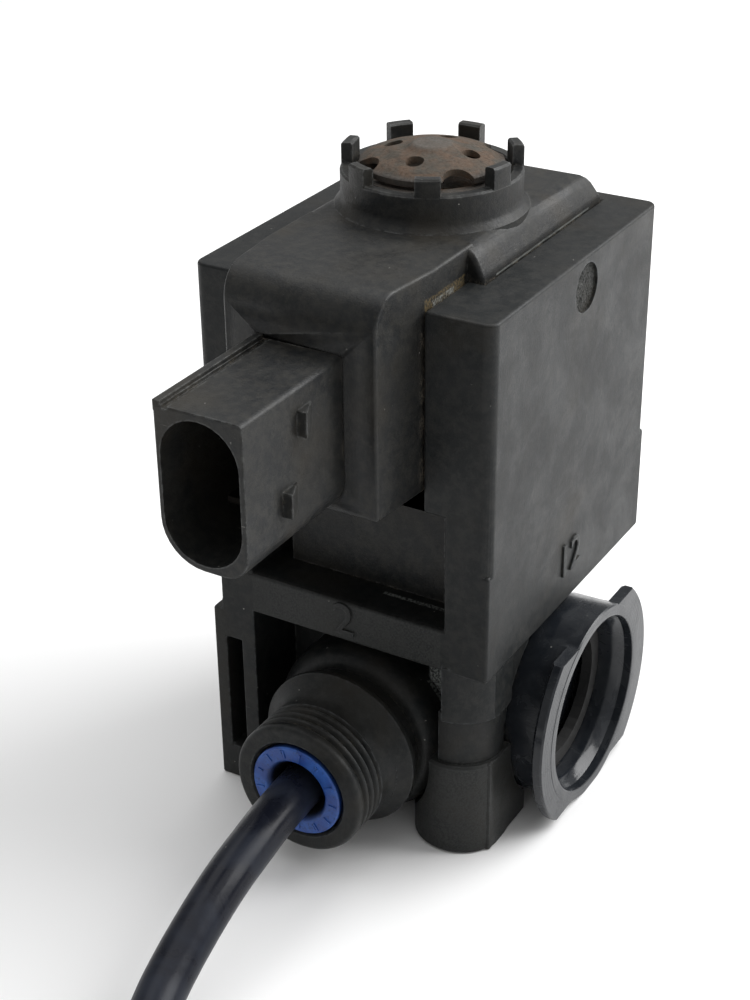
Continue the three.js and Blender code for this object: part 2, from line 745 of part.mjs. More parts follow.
// ---- Port 12: glossy flanged socket with its seals and screen ----
function port12Socket() {
  const blank = turnedX(
    [
      [13.2, PORT12_FACE],
      [FLANGE_RADIUS, PORT12_FACE],
      [FLANGE_RADIUS, PORT12_FACE - FLANGE_THICKNESS],
      [PORT12_BARREL_RADIUS, PORT12_FACE - FLANGE_THICKNESS - 0.6],
      [PORT12_BARREL_RADIUS, 19.8],
      [PORT12_BARREL_RADIUS - 0.6, 19.4],
      [PORT12_BARREL_RADIUS - 0.6, 18.8],
      [PORT12_BARREL_RADIUS, 18.4],
      [PORT12_BARREL_RADIUS, BARREL_JOINT + GAP],
      [SPIGOT.radius, BARREL_JOINT + GAP],
      [SPIGOT.radius, 13.6],
      [8.6, 13.6],
      [8.6, 11.6],
      [SPIGOT.radius, 11.6],
      [SPIGOT.radius, SPIGOT.end],
      [7.6, SPIGOT.end],
      [7.6, 15],
      [8.9, 16.4],
      [8.9, 19.4],
      [12.1, 20.4],
      [12.1, 24.4],
      [12.6, 25.6],
      [13.2, 26.1],
    ],
    PORT12_HEIGHT,
    ROUND_STEPS + 4,
  );
  const flats = prismY(
    polygon([
      [0, PORT12_HEIGHT - PORT12_BARREL_RADIUS - 1],
      [25, PORT12_HEIGHT - PORT12_BARREL_RADIUS - 1],
      [25, PORT12_HEIGHT - FLANGE_HALF_HEIGHT],
      [40, PORT12_HEIGHT - FLANGE_HALF_HEIGHT],
      [40, PORT12_HEIGHT + FLANGE_HALF_HEIGHT],
      [25, PORT12_HEIGHT + FLANGE_HALF_HEIGHT],
      [25, PORT12_HEIGHT + PORT12_BARREL_RADIUS + 1],
      [0, PORT12_HEIGHT + PORT12_BARREL_RADIUS + 1],
    ]),
    -20,
    20,
  );
  const lip = turnedX(ringOutline(13.2, PORT12_BARREL_RADIUS, 24, PORT12_FACE), PORT12_HEIGHT,
    ROUND_STEPS + 4);
  const aboveFloor = block(0, 40, -30, 30, 0, 60);
  return blank.intersect(flats).add(lip).intersect(aboveFloor);
}

function port12Seal() {
  return turnedX(ringOutline(8.9, SPIGOT.radius, 11.9, 13.3), PORT12_HEIGHT);
}

function plugSeal() {
  return turnedX(ringOutline(9.5, 11.8, 21, 22.6), PORT12_HEIGHT);
}

function port12Screen() {
  return turnedX(rodOutline(7.3, 10.2, 11), PORT12_HEIGHT);
}

// ---- Air line: a free length of nylon tube, square cut at the far end ----
const LINE_LEVEL = LINE_DIAMETER / 2;
const LINE_ROUTE = [
  [0, -20, PORT2_HEIGHT],
  [0, -29, PORT2_HEIGHT],
  [0.1, -38, PORT2_HEIGHT],
  [0.5, -45.1, 13.5],
  [0.9, -49.9, 13.2],
  [1.1, -55.5, 12.3],
  [1.3, -60.4, 11],
  [1.5, -64.8, 9.5],
  [1.8, -69, 8],
  [2.5, -73.5, 6.6],
  [5.4, -82.0, 5.2],
  [10.1, -89.7, 4.2],
  [16.4, -96.2, 3.6],
  [23.9, -101.1, LINE_LEVEL + 0.1],
  [32.3, -104.4, LINE_LEVEL + 0.1],
  [41.2, -105.7, LINE_LEVEL + 0.1],
  [50.2, -105.1, LINE_LEVEL + 0.1],
  [58.8, -102.5, LINE_LEVEL + 0.1],
  [66.7, -98.1, LINE_LEVEL + 0.1],
  [73.4, -92.2, LINE_LEVEL + 0.1],
  [78.7, -84.9, LINE_LEVEL + 0.1],
  [82.3, -76.6, LINE_LEVEL + 0.1],
  [84.0, -67.8, LINE_LEVEL + 0.1],
  [83.8, -58.8, LINE_LEVEL + 0.1],
];

function airLine() {
  const route = new THREE.CatmullRomCurve3(
    LINE_ROUTE.map(([x, y, z]) => new THREE.Vector3(x, y, z)),
    false,
    "centripetal",
  );
  const section = new THREE.Shape();
  for (let i = 0; i < LINE_SIDES; i += 1) {
    const angle = (i / LINE_SIDES) * Math.PI * 2;
    const u = LINE_LEVEL * Math.cos(angle);
    const v = LINE_LEVEL * Math.sin(angle);
    if (i === 0) section.moveTo(u, v);
    else section.lineTo(u, v);
  }
  return solid(new THREE.ExtrudeGeometry(section, {
    extrudePath: route,
    steps: LINE_STEPS,
    bevelEnabled: false,
  }));
}

// ---- Assembly ----
place("valve_body", valveBody(), BLACK_NYLON);
place("coil_cover", coilCover(), COVER_NYLON);
place("connector_terminal_lower", terminal(TERMINAL_HEIGHTS[0]), BRASS);
place("connector_terminal_upper", terminal(TERMINAL_HEIGHTS[1]), BRASS);
place("yoke_frame", yokeFrame(), STEEL);
place("bobbin", bobbin(), NATURAL_NYLON);
place("coil_winding", winding(), COPPER);
place("guide_tube", guideTube(), BRASS);
place("fixed_core", fixedCore(), STEEL);
place("core_seal", coreSeal(), RUBBER);
place("armature", armature(), STEEL);
place("armature_lower_seal", lowerSeal(), RUBBER);
place("armature_upper_seal", upperSeal(), RUBBER);
place("return_spring", returnSpring(), STEEL);
place("seat_insert", seatInsert(), BRASS);
place("exhaust_screen", exhaustScreen(), RUSTY_STEEL);
place("exhaust_cap_ring", capRing(), RUSTY_STEEL);
place("exhaust_cap", exhaustCap(), RUSTY_STEEL);
place("lock_pin_right", lockPin(), BLACK_NYLON);
place("lock_pin_left", lockPin().mirror([1, 0, 0]), BLACK_NYLON);
place("port2_cartridge", port2Cartridge(), BLACK_NYLON);
place("port2_collet", releaseCollet(), BLUE_ACETAL);
place("port2_grip_ring", gripRing(), STEEL);
place("port2_line_seal", lineSeal(), RUBBER);
place("port12_socket", port12Socket(), GLOSS_NYLON);
place("port12_body_seal", port12Seal(), RUBBER);
place("port12_plug_seal", plugSeal(), RUBBER);
place("port12_screen", port12Screen(), STEEL);
place("air_line", airLine(), LINE_NYLON);

export default valve;
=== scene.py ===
import math

import bmesh
import bpy
from mathutils import Matrix, Vector
from mathutils.noise import noise as field


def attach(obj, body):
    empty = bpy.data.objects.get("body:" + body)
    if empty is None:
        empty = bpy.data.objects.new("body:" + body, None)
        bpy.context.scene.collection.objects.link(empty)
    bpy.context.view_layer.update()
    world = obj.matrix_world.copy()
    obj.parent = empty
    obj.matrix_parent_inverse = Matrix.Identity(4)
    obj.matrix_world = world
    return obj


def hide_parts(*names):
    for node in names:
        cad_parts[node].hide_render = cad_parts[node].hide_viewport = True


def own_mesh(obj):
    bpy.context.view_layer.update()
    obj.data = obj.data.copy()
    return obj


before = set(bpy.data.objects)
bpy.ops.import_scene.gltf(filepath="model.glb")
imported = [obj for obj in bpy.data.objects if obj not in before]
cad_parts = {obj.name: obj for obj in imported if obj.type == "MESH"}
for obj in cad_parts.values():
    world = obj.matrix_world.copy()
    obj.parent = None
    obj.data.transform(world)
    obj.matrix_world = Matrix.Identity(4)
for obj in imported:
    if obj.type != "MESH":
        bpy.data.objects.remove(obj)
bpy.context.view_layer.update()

# ---- Sizes, in millimetres: shapes are built in millimetres and placed in metres ----
MM = 0.001
HALF_WIDTH, FRONT, BACK = 22, -24.4, 25.6
HOUSING_BOTTOM, BAND_TOP, HOUSING_TOP = 30.4, 43.7, 82
BAND_LEFT = -20.5
POCKET_FLOOR, POCKET_BACK, POCKET_HALF = 36.7, 22.6, 15.4
WINDOW_HALF, WINDOW_STEP, SHOULDER_BACK = 12.3, 54, -13
COIL_TOP, COIL_FACE = 86.4, -18
NOSE_FACE, NOSE_BOTTOM, NOSE_HALF, NOSE_ROUND = -33.6, 56.6, 10.9, 4
SHROUD_FRONT, SHROUD_HALF, SHROUD_BOTTOM, SHROUD_TOP = -55.2, 6.2, 57.5, 78.4
SOCKET_HALF, SOCKET_BACK = 5.5, -37
NECK_RADIUS, NECK_INNER, NECK_RIM, TAB_TOP, CUP_FLOOR = 12.2, 10.6, 91.2, 93.9, 87.4
PORT2_HEIGHT, PORT2_RIM = 13.6, -37.6
PORT12_HEIGHT, PORT12_FACE = 14.6, 27.5
LINE_RADIUS = 3.175
SEAM = 0.12  # visible gap between two mouldings
LIP_HALF = 14.7  # half width of the pocket where the cover shows


def placed(name, data):
    made = bpy.data.objects.new(name, data)
    bpy.context.scene.collection.objects.link(made)
    return made


# ---- Camera ----
def aim_camera(azimuth, elevation, roll, place, lens):
    a, e, r = (math.radians(x) for x in (azimuth, elevation, roll))
    right = Vector((math.cos(a), math.sin(a), 0))
    back = Vector((math.sin(a) * math.cos(e), -math.cos(a) * math.cos(e), math.sin(e)))
    up = back.cross(right)
    side = math.cos(r) * right + math.sin(r) * up
    top = math.cos(r) * up - math.sin(r) * right
    data = bpy.data.cameras.new("camera")
    data.lens = lens
    data.sensor_width = 36
    data.clip_start, data.clip_end = 0.01, 20
    camera = placed("camera", data)
    facing = Matrix((side, top, back)).transposed()
    camera.matrix_world = Matrix.Translation(place) @ facing.to_4x4()
    bpy.context.scene.camera = camera


aim_camera(azimuth=30.659, elevation=28.843, roll=-0.645,
           place=(0.11396, -0.20795, 0.17148), lens=67.2)


# ---- Shape tools: those that make a shape return a bmesh in millimetres ----
def only_verts(parts):
    return [part for part in parts if isinstance(part, bmesh.types.BMVert)]


def only_edges(parts):
    return [part for part in parts if isinstance(part, bmesh.types.BMEdge)]


def block(x0, x1, y0, y1, z0, z1, soften=0.0, upright=0.0):
    """A box with rounded upright corners, then every edge softened."""
    shape = bmesh.new()
    bmesh.ops.create_cube(shape, size=1)
    bmesh.ops.scale(shape, vec=(x1 - x0, y1 - y0, z1 - z0), verts=shape.verts)
    middle = ((x0 + x1) / 2, (y0 + y1) / 2, (z0 + z1) / 2)
    bmesh.ops.translate(shape, vec=middle, verts=shape.verts)
    if upright:
        round_edges(shape, upright, [e for e in shape.edges if runs_along(e, 2)], 6)
    if soften:
        round_edges(shape, soften, corners(shape), 2)
    return shape


def runs_along(edge, axis):
    way = (edge.verts[1].co - edge.verts[0].co).normalized()
    return abs(way[axis]) > 0.999


def corners(shape, least=25):
    limit = math.radians(least)
    return [e for e in shape.edges if e.is_manifold and e.calc_face_angle() > limit]


def round_edges(shape, width, edges, segments=2):
    bmesh.ops.bevel(
        shape, geom=edges, offset=width, offset_type="OFFSET", segments=segments,
        profile=0.5, affect="EDGES", clamp_overlap=False, material=-1,
    )
    return shape


def prism(outline, axis, low, high, soften=0.0):
    """An outline in the two other axes, in cyclic order, raised along one axis."""
    shape = bmesh.new()
    u, v = (axis + 1) % 3, (axis + 2) % 3
    points = []
    for a, b in outline:
        place = [0.0, 0.0, 0.0]
        place[axis], place[u], place[v] = low, a, b
        points.append(shape.verts.new(place))
    face = shape.faces.new(points)
    raised = bmesh.ops.extrude_face_region(shape, geom=[face])["geom"]
    lift = [0.0, 0.0, 0.0]
    lift[axis] = high - low
    bmesh.ops.translate(shape, vec=lift, verts=only_verts(raised))
    bmesh.ops.recalc_face_normals(shape, faces=shape.faces)
    if soften:
        round_edges(shape, soften, corners(shape), 2)
    return shape


def rounded_outline(u0, u1, v0, v1, radii, steps=8):
    """A rectangle with a radius at each corner: low-low, high-low, high-high, low-high."""
    centres = [
        (u0 + radii[0], v0 + radii[0], 180), (u1 - radii[1], v0 + radii[1], 270),
        (u1 - radii[2], v1 - radii[2], 0), (u0 + radii[3], v1 - radii[3], 90),
    ]
    points = []
    for (u, v, start), radius in zip(centres, radii):
        for i in range(steps + 1):
            angle = math.radians(start + 90 * i / steps)
            points.append((u + radius * math.cos(angle), v + radius * math.sin(angle)))
    return points


def turned(profile, axis, centre=(0, 0, 0), steps=96, closed=True):
    """A profile of (radius, place along the axis), spun once round."""
    shape = bmesh.new()
    side = (axis + 1) % 3
    points = []
    for radius, along in profile:
        place = list(centre)
        place[axis] = along
        place[side] += radius
        points.append(shape.verts.new(place))
    ends = zip(points, points[1:] + points[:1] if closed else points[1:])
    lines = [shape.edges.new(pair) for pair in ends]
    way = [0, 0, 0]
    way[axis] = 1
    bmesh.ops.spin(
        shape, geom=points + lines, cent=centre, axis=way,
        angle=2 * math.pi, steps=steps, use_merge=True,
    )
    bmesh.ops.remove_doubles(shape, verts=shape.verts, dist=1e-4)
    bmesh.ops.recalc_face_normals(shape, faces=shape.faces)
    return shape


def rod(radius, low, high, axis, centre=(0, 0, 0), steps=64, soften=0.0):
    return turned(
        [(0, low), (radius - soften, low), *([(radius, low + soften)] if soften else []),
         *([(radius, high - soften)] if soften else []), (radius - soften, high), (0, high)],
        axis, centre, steps, closed=False,
    )


def stand_in(shape):
    mesh = bpy.data.meshes.new("shape")
    shape.to_mesh(mesh)
    shape.free()
    return placed("shape", mesh)


def evaluated(made):
    graph = bpy.context.evaluated_depsgraph_get()
    return bpy.data.meshes.new_from_object(made.evaluated_get(graph))


def combine(base, others, operation):
    """base with the other shapes added or cut away, all of them used up."""
    target = stand_in(base)
    tools = [stand_in(other) for other in others]
    for tool in tools:
        step = target.modifiers.new("step", "BOOLEAN")
        step.operation, step.object, step.solver = operation, tool, "EXACT"
    mesh = evaluated(target)
    result = bmesh.new()
    result.from_mesh(mesh)
    for used in [target, *tools]:
        data = used.data
        bpy.data.objects.remove(used)
        bpy.data.meshes.remove(data)
    bpy.data.meshes.remove(mesh)
    bmesh.ops.remove_doubles(result, verts=result.verts, dist=1e-3)
    bmesh.ops.dissolve_degenerate(result, dist=1e-3, edges=result.edges)
    return result


def add(base, *others):
    return combine(base, others, "UNION")


def cut(base, *others):
    return combine(base, others, "DIFFERENCE")


def clean(shape):
    """Flat faces made whole again after a cut."""
    bmesh.ops.dissolve_limit(
        shape, angle_limit=math.radians(1), verts=shape.verts, edges=shape.edges,
    )
    return shape


def shift(shape, vector):
    bmesh.ops.translate(shape, vec=vector, verts=shape.verts)
    return shape


def turn(shape, angle, axis, centre=(0, 0, 0)):
    bmesh.ops.rotate(
        shape, cent=centre, matrix=Matrix.Rotation(math.radians(angle), 3, axis),
        verts=shape.verts,
    )
    return shape


def piece(name, shape, finish, body="valve", stands_for=(), smooth=32):
    """A finished piece in metres, riding on its body."""
    bmesh.ops.scale(shape, vec=(MM, MM, MM), verts=shape.verts)
    mesh = bpy.data.meshes.new(name)
    shape.to_mesh(mesh)
    shape.free()
    mesh.materials.append(finish)
    mesh.shade_smooth()
    mesh.set_sharp_from_angle(angle=math.radians(smooth))
    made = placed(name, mesh)
    even = made.modifiers.new("even_normals", "WEIGHTED_NORMAL")
    even.keep_sharp = True
    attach(made, body)
    if stands_for:
        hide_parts(*stands_for)
    return made


# ---- Shared patterns: shader groups with named inputs and outputs ----
def new_group(name, inputs, outputs):
    tree = bpy.data.node_groups.new(name, "ShaderNodeTree")
    for label, kind, value in inputs:
        socket = tree.interface.new_socket(label, in_out="INPUT", socket_type=kind)
        if value is not None:
            socket.default_value = value
    for label, kind in outputs:
        tree.interface.new_socket(label, in_out="OUTPUT", socket_type=kind)
    return tree, tree.nodes.new("NodeGroupInput"), tree.nodes.new("NodeGroupOutput")


def node(tree, kind, links=(), **settings):
    """A node with its settings, then its inputs: a number is set, a socket is linked."""
    made = tree.nodes.new(kind)
    for key, value in settings.items():
        setattr(made, key, value)
    for key, value in dict(links).items():
        if isinstance(value, bpy.types.NodeSocket):
            tree.links.new(value, made.inputs[key])
        else:
            made.inputs[key].default_value = value
    return made


def math_node(tree, operation, first, second=0.0, clamp=False):
    return node(tree, "ShaderNodeMath", {0: first, 1: second}, operation=operation,
                use_clamp=clamp).outputs[0]


def ramp(tree, value, low, high, start=0.0, end=1.0, smooth=True):
    links = {"Value": value, "From Min": low, "From Max": high, "To Min": start, "To Max": end}
    kind = "SMOOTHSTEP" if smooth else "LINEAR"
    return node(tree, "ShaderNodeMapRange", links, interpolation_type=kind).outputs["Result"]


def blend_colors(tree, share, first, second):
    made = node(tree, "ShaderNodeMix", data_type="RGBA")
    for slot, value in ((0, share), (6, first), (7, second)):
        socket = made.inputs[slot]
        if isinstance(value, bpy.types.NodeSocket):
            tree.links.new(value, socket)
        elif isinstance(value, tuple):
            socket.default_value = (*value, 1)
        else:
            socket.default_value = value
    return made.outputs[2]


def noise_node(tree, place, scale, detail=3.0, roughness=0.55, distortion=0.0):
    links = {"Vector": place, "Scale": scale, "Detail": detail, "Roughness": roughness,
             "Distortion": distortion}
    return node(tree, "ShaderNodeTexNoise", links).outputs["Fac"]


def moulded_grain_group():
    """The fine spark-eroded texture of a moulding, with broad clouds of handling."""
    tree, given, out = new_group(
        "moulded_grain",
        [("Place", "NodeSocketVector", None), ("Grain", "NodeSocketFloat", 3.5),
         ("Pits", "NodeSocketFloat", 0.35)],
        [("Height", "NodeSocketFloat"), ("Cloud", "NodeSocketFloat"), ("Fine", "NodeSocketFloat")])
    place = given.outputs["Place"]
    fine = noise_node(tree, place, given.outputs["Grain"], 4, 0.7)
    soft = noise_node(tree, place, 0.9, 3, 0.5)
    cells = node(tree, "ShaderNodeTexVoronoi", {"Vector": place, "Scale": 1.7}).outputs["Distance"]
    pits = math_node(tree, "MULTIPLY", ramp(tree, cells, 0.0, 0.16, 1.0, 0.0),
                     given.outputs["Pits"])
    height = math_node(tree, "SUBTRACT", math_node(tree, "ADD", fine, math_node(
        tree, "MULTIPLY", soft, 0.5)), pits)
    cloud = noise_node(tree, place, 0.13, 5, 0.62, 0.4)
    tree.links.new(height, out.inputs["Height"])
    tree.links.new(cloud, out.inputs["Cloud"])
    tree.links.new(fine, out.inputs["Fine"])
    return tree


def worn_edge_group():
    """Where a moulding's corners are rubbed: a mask that is 1 on a corner and broken up."""
    tree, given, out = new_group(
        "worn_edge",
        [("Place", "NodeSocketVector", None), ("Amount", "NodeSocketFloat", 1.0)],
        [("Mask", "NodeSocketFloat")])
    rounded = node(tree, "ShaderNodeBevel", {"Radius": 0.00045}, samples=4).outputs["Normal"]
    true = node(tree, "ShaderNodeNewGeometry").outputs["Normal"]
    likeness = node(tree, "ShaderNodeVectorMath", {0: rounded, 1: true},
                    operation="DOT_PRODUCT").outputs["Value"]
    edge = ramp(tree, likeness, 0.985, 0.86)
    broken = ramp(tree, noise_node(tree, given.outputs["Place"], 0.9, 4, 0.65), 0.4, 0.62)
    mask = math_node(tree, "MULTIPLY", edge, broken)
    tree.links.new(math_node(tree, "MULTIPLY", mask, given.outputs["Amount"]), out.inputs["Mask"])
    return tree


def seam_dirt_and_shade_group():
    """Mask: pale brown grit that gathers where two faces meet inwards. Shade: painted shade, the
    darkness where faces meet inwards, for a material to darken its colour with.
    """
    tree, given, out = new_group(
        "seam_dirt_and_shade",
        [("Place", "NodeSocketVector", None), ("Amount", "NodeSocketFloat", 1.0)],
        [("Mask", "NodeSocketFloat"), ("Shade", "NodeSocketFloat")])
    open_sky = node(tree, "ShaderNodeAmbientOcclusion", {"Distance": 0.0016},
                    samples=6).outputs["AO"]
    shut = ramp(tree, open_sky, 0.62, 0.2)
    patch = ramp(tree, noise_node(tree, given.outputs["Place"], 0.35, 5, 0.7), 0.44, 0.62)
    grit = ramp(tree, noise_node(tree, given.outputs["Place"], 5.0, 3, 0.7), 0.42, 0.62)
    mask = math_node(tree, "MULTIPLY", math_node(tree, "MULTIPLY", shut, patch), grit)
    tree.links.new(math_node(tree, "MULTIPLY", mask, given.outputs["Amount"], True),
                   out.inputs["Mask"])
    # painted shade: the occlusion given out as Shade, to darken colour in creases and recesses
    tree.links.new(shut, out.inputs["Shade"])
    return tree


def grease_line_group():
    """Old grease along a joint: a band inside a box of places, more broken as Gaps rises."""
    tree, given, out = new_group(
        "grease_line",
        [("Place", "NodeSocketVector", None), ("Middle", "NodeSocketVector", None),
         ("Reach", "NodeSocketVector", None), ("Gaps", "NodeSocketFloat", 1.0)],
        [("Mask", "NodeSocketFloat")])
    place, gaps = given.outputs["Place"], given.outputs["Gaps"]
    wander = node(tree, "ShaderNodeTexNoise", {"Vector": place, "Scale": 0.8, "Detail": 2.0})
    offset = node(tree, "ShaderNodeVectorMath", {0: wander.outputs["Color"], 1: (0.5, 0.5, 0.5)},
                  operation="SUBTRACT").outputs["Vector"]
    drift = math_node(tree, "MULTIPLY", gaps, 0.4)
    spread = node(tree, "ShaderNodeCombineXYZ", {"X": drift, "Y": drift, "Z": drift}).outputs[0]
    moved = node(tree, "ShaderNodeVectorMath", {0: offset, 1: spread, 2: place},
                 operation="MULTIPLY_ADD").outputs["Vector"]
    away = node(tree, "ShaderNodeVectorMath", {0: moved, 1: given.outputs["Middle"]},
                operation="SUBTRACT").outputs["Vector"]
    away = node(tree, "ShaderNodeVectorMath", {0: away}, operation="ABSOLUTE").outputs["Vector"]
    away = node(tree, "ShaderNodeVectorMath", {0: away, 1: given.outputs["Reach"]},
                operation="SUBTRACT").outputs["Vector"]
    parts = node(tree, "ShaderNodeSeparateXYZ", {"Vector": away}).outputs
    most = math_node(tree, "MAXIMUM", math_node(tree, "MAXIMUM", parts[0], parts[1]), parts[2])
    band = ramp(tree, most, 0.08, -0.08)
    broken = ramp(tree, noise_node(tree, place, 3.2, 3, 0.65), 0.4, 0.58)
    kept = math_node(tree, "MAXIMUM", broken, math_node(tree, "SUBTRACT", 1.0, gaps))
    tree.links.new(math_node(tree, "MULTIPLY", band, kept), out.inputs["Mask"])
    return tree


def speck_group():
    """Scattered pale specks and a few fine scratches."""
    tree, given, out = new_group(
        "specks",
        [("Place", "NodeSocketVector", None), ("Amount", "NodeSocketFloat", 1.0)],
        [("Mask", "NodeSocketFloat")])
    place = given.outputs["Place"]
    cells = node(tree, "ShaderNodeTexVoronoi", {"Vector": place, "Scale": 0.42})
    size = math_node(tree, "MULTIPLY", noise_node(tree, place, 0.4, 2), 0.09)
    dot = math_node(tree, "LESS_THAN", cells.outputs["Distance"], size)
    bits = math_node(tree, "GREATER_THAN", noise_node(tree, place, 7.0, 2), 0.5)
    pick = node(tree, "ShaderNodeSeparateColor", {"Color": cells.outputs["Color"]}).outputs[0]
    chosen = math_node(tree, "GREATER_THAN", pick, 0.62)
    dots = math_node(tree, "MULTIPLY", math_node(tree, "MULTIPLY", dot, chosen), bits)
    lines = []
    for turn_by, seed in ((0.5, 3.0), (2.1, 11.0)):
        slant = node(tree, "ShaderNodeMapping", {
            "Vector": place, "Location": (seed, seed, 0), "Rotation": (0.4, turn_by, turn_by),
            "Scale": (0.035, 1.1, 1.1)}).outputs["Vector"]
        streak = node(tree, "ShaderNodeTexVoronoi", {"Vector": slant, "Scale": 0.6},
                      feature="F1").outputs["Distance"]
        gate = ramp(tree, noise_node(tree, place, 0.09, 2), 0.56, 0.6)
        lines.append(math_node(tree, "MULTIPLY", ramp(tree, streak, 0.035, 0.01), gate))
    scratched = math_node(tree, "MAXIMUM", lines[0], lines[1])
    mask = math_node(tree, "MAXIMUM", dots, math_node(tree, "MULTIPLY", scratched, 0.5))
    tree.links.new(math_node(tree, "MULTIPLY", mask, given.outputs["Amount"], True),
                   out.inputs["Mask"])
    return tree


GRAIN = moulded_grain_group()
WORN = worn_edge_group()
DIRT_AND_SHADE = seam_dirt_and_shade_group()
SPECKS = speck_group()
GREASE = grease_line_group()


# ---- Finishes ----
def start_material(name):
    """A material's tree, its shader, and places in millimetres."""
    made = bpy.data.materials.new(name)
    made.use_nodes = True
    tree = made.node_tree
    shader = tree.nodes["Principled BSDF"]
    coordinates = node(tree, "ShaderNodeTexCoord").outputs["Object"]
    place = node(tree, "ShaderNodeMapping", {
        "Vector": coordinates, "Scale": (1 / MM, 1 / MM, 1 / MM)}).outputs["Vector"]
    return made, tree, shader, place


def use_group(tree, group, **values):
    made = tree.nodes.new("ShaderNodeGroup")
    made.node_tree = group
    for label, value in values.items():
        if isinstance(value, bpy.types.NodeSocket):
            tree.links.new(value, made.inputs[label])
        else:
            made.inputs[label].default_value = value
    return made.outputs


def bump(tree, shader, height, depth, strength=1.0):
    """depth is in millimetres."""
    normal = node(tree, "ShaderNodeBump", {
        "Height": height, "Distance": depth * MM, "Strength": strength}).outputs["Normal"]
    tree.links.new(normal, shader.inputs["Normal"])


def finish_with(made, tree, shader, color, roughness):
    tree.links.new(color, shader.inputs["Base Color"])
    tree.links.new(roughness, shader.inputs["Roughness"])
    return made


def nylon(name, dark, light, rough, worn=1.0, dirt=1.0, specks=1.0, grain=3.5, depth=0.035,
          specular=0.5, grease=()):
    """Black moulded nylon: fine grain, handled clouds, rubbed corners, grit in the seams."""
    made, tree, shader, place = start_material(name)
    texture = use_group(tree, GRAIN, Place=place, Grain=grain)
    edge = use_group(tree, WORN, Place=place, Amount=worn)["Mask"]
    seam = use_group(tree, DIRT_AND_SHADE, Place=place, Amount=dirt)
    speck = use_group(tree, SPECKS, Place=place, Amount=specks)["Mask"]
    handled = ramp(tree, texture["Cloud"], 0.3, 0.7)
    color = blend_colors(tree, handled, dark, light)
    brown = tuple(c * f for c, f in zip(light, (1.5, 1.25, 0.95)))
    stain = ramp(tree, noise_node(tree, place, 0.06, 3, 0.6, 0.3), 0.5, 0.7, 0.0, 0.7)
    color = blend_colors(tree, stain, color, brown)
    mottle = ramp(tree, noise_node(tree, place, 0.75, 5, 0.7), 0.38, 0.68, 0.0, 0.65)
    color = blend_colors(tree, mottle, color, tuple(c * f for c, f in zip(light, (1.7, 1.6, 1.45))))
    color = blend_colors(tree, edge, color, tuple(4.5 * c for c in light))
    color = blend_colors(tree, seam["Mask"], color, (0.16, 0.14, 0.11))
    color = blend_colors(tree, speck, color, (0.32, 0.31, 0.29))
    for tint, middle, reach, gaps in grease:
        line = use_group(tree, GREASE, Place=place, Middle=middle, Reach=reach, Gaps=gaps)["Mask"]
        color = blend_colors(tree, line, color, tint)
    low, high = rough
    roughness = ramp(tree, texture["Cloud"], 0.3, 0.7, low, high)
    roughness = math_node(tree, "ADD", roughness, math_node(tree, "MULTIPLY", math_node(
        tree, "SUBTRACT", texture["Fine"], 0.5), 0.25))
    roughness = math_node(tree, "ADD", roughness,
                          math_node(tree, "MULTIPLY", seam["Mask"], 0.3), True)
    shader.inputs["Specular IOR Level"].default_value = specular
    bump(tree, shader, texture["Height"], depth)
    return finish_with(made, tree, shader, color, roughness)


def glossy_nylon():
    """Unfilled black nylon with a polished skin: faint turning marks, smears and dust."""
    made, tree, shader, place = start_material("gloss_nylon")
    edge = use_group(tree, WORN, Place=place, Amount=0.7)["Mask"]
    seam = use_group(tree, DIRT_AND_SHADE, Place=place, Amount=0.8)["Mask"]
    speck = use_group(tree, SPECKS, Place=place, Amount=0.8)["Mask"]
    smear = noise_node(tree, place, 0.22, 5, 0.6, 0.8)
    shader.inputs["Specular IOR Level"].default_value = 0.34
    color = blend_colors(tree, ramp(tree, smear, 0.35, 0.7),
                         (0.012, 0.014, 0.0175), (0.022, 0.0245, 0.028))
    color = blend_colors(tree, edge, color, (0.05, 0.052, 0.056))
    color = blend_colors(tree, seam, color, (0.12, 0.11, 0.09))
    color = blend_colors(tree, speck, color, (0.35, 0.35, 0.33))
    tree.links.new(color, shader.inputs["Base Color"])
    tree.links.new(ramp(tree, smear, 0.3, 0.7, 0.13, 0.34), shader.inputs["Roughness"])
    about_axis = node(tree, "ShaderNodeMapping", {
        "Vector": place, "Location": (0, 0, -PORT12_HEIGHT), "Scale": (0, 1, 1)}).outputs["Vector"]
    rings = node(tree, "ShaderNodeTexWave", {
        "Vector": about_axis, "Scale": 0.55, "Distortion": 0.6, "Detail": 1.0},
        wave_type="RINGS", rings_direction="SPHERICAL").outputs["Fac"]
    height = math_node(tree, "ADD", math_node(tree, "MULTIPLY", rings, 0.35), math_node(
        tree, "MULTIPLY", noise_node(tree, place, 0.8, 3), 0.9))
    bump(tree, shader, height, 0.02)
    return made


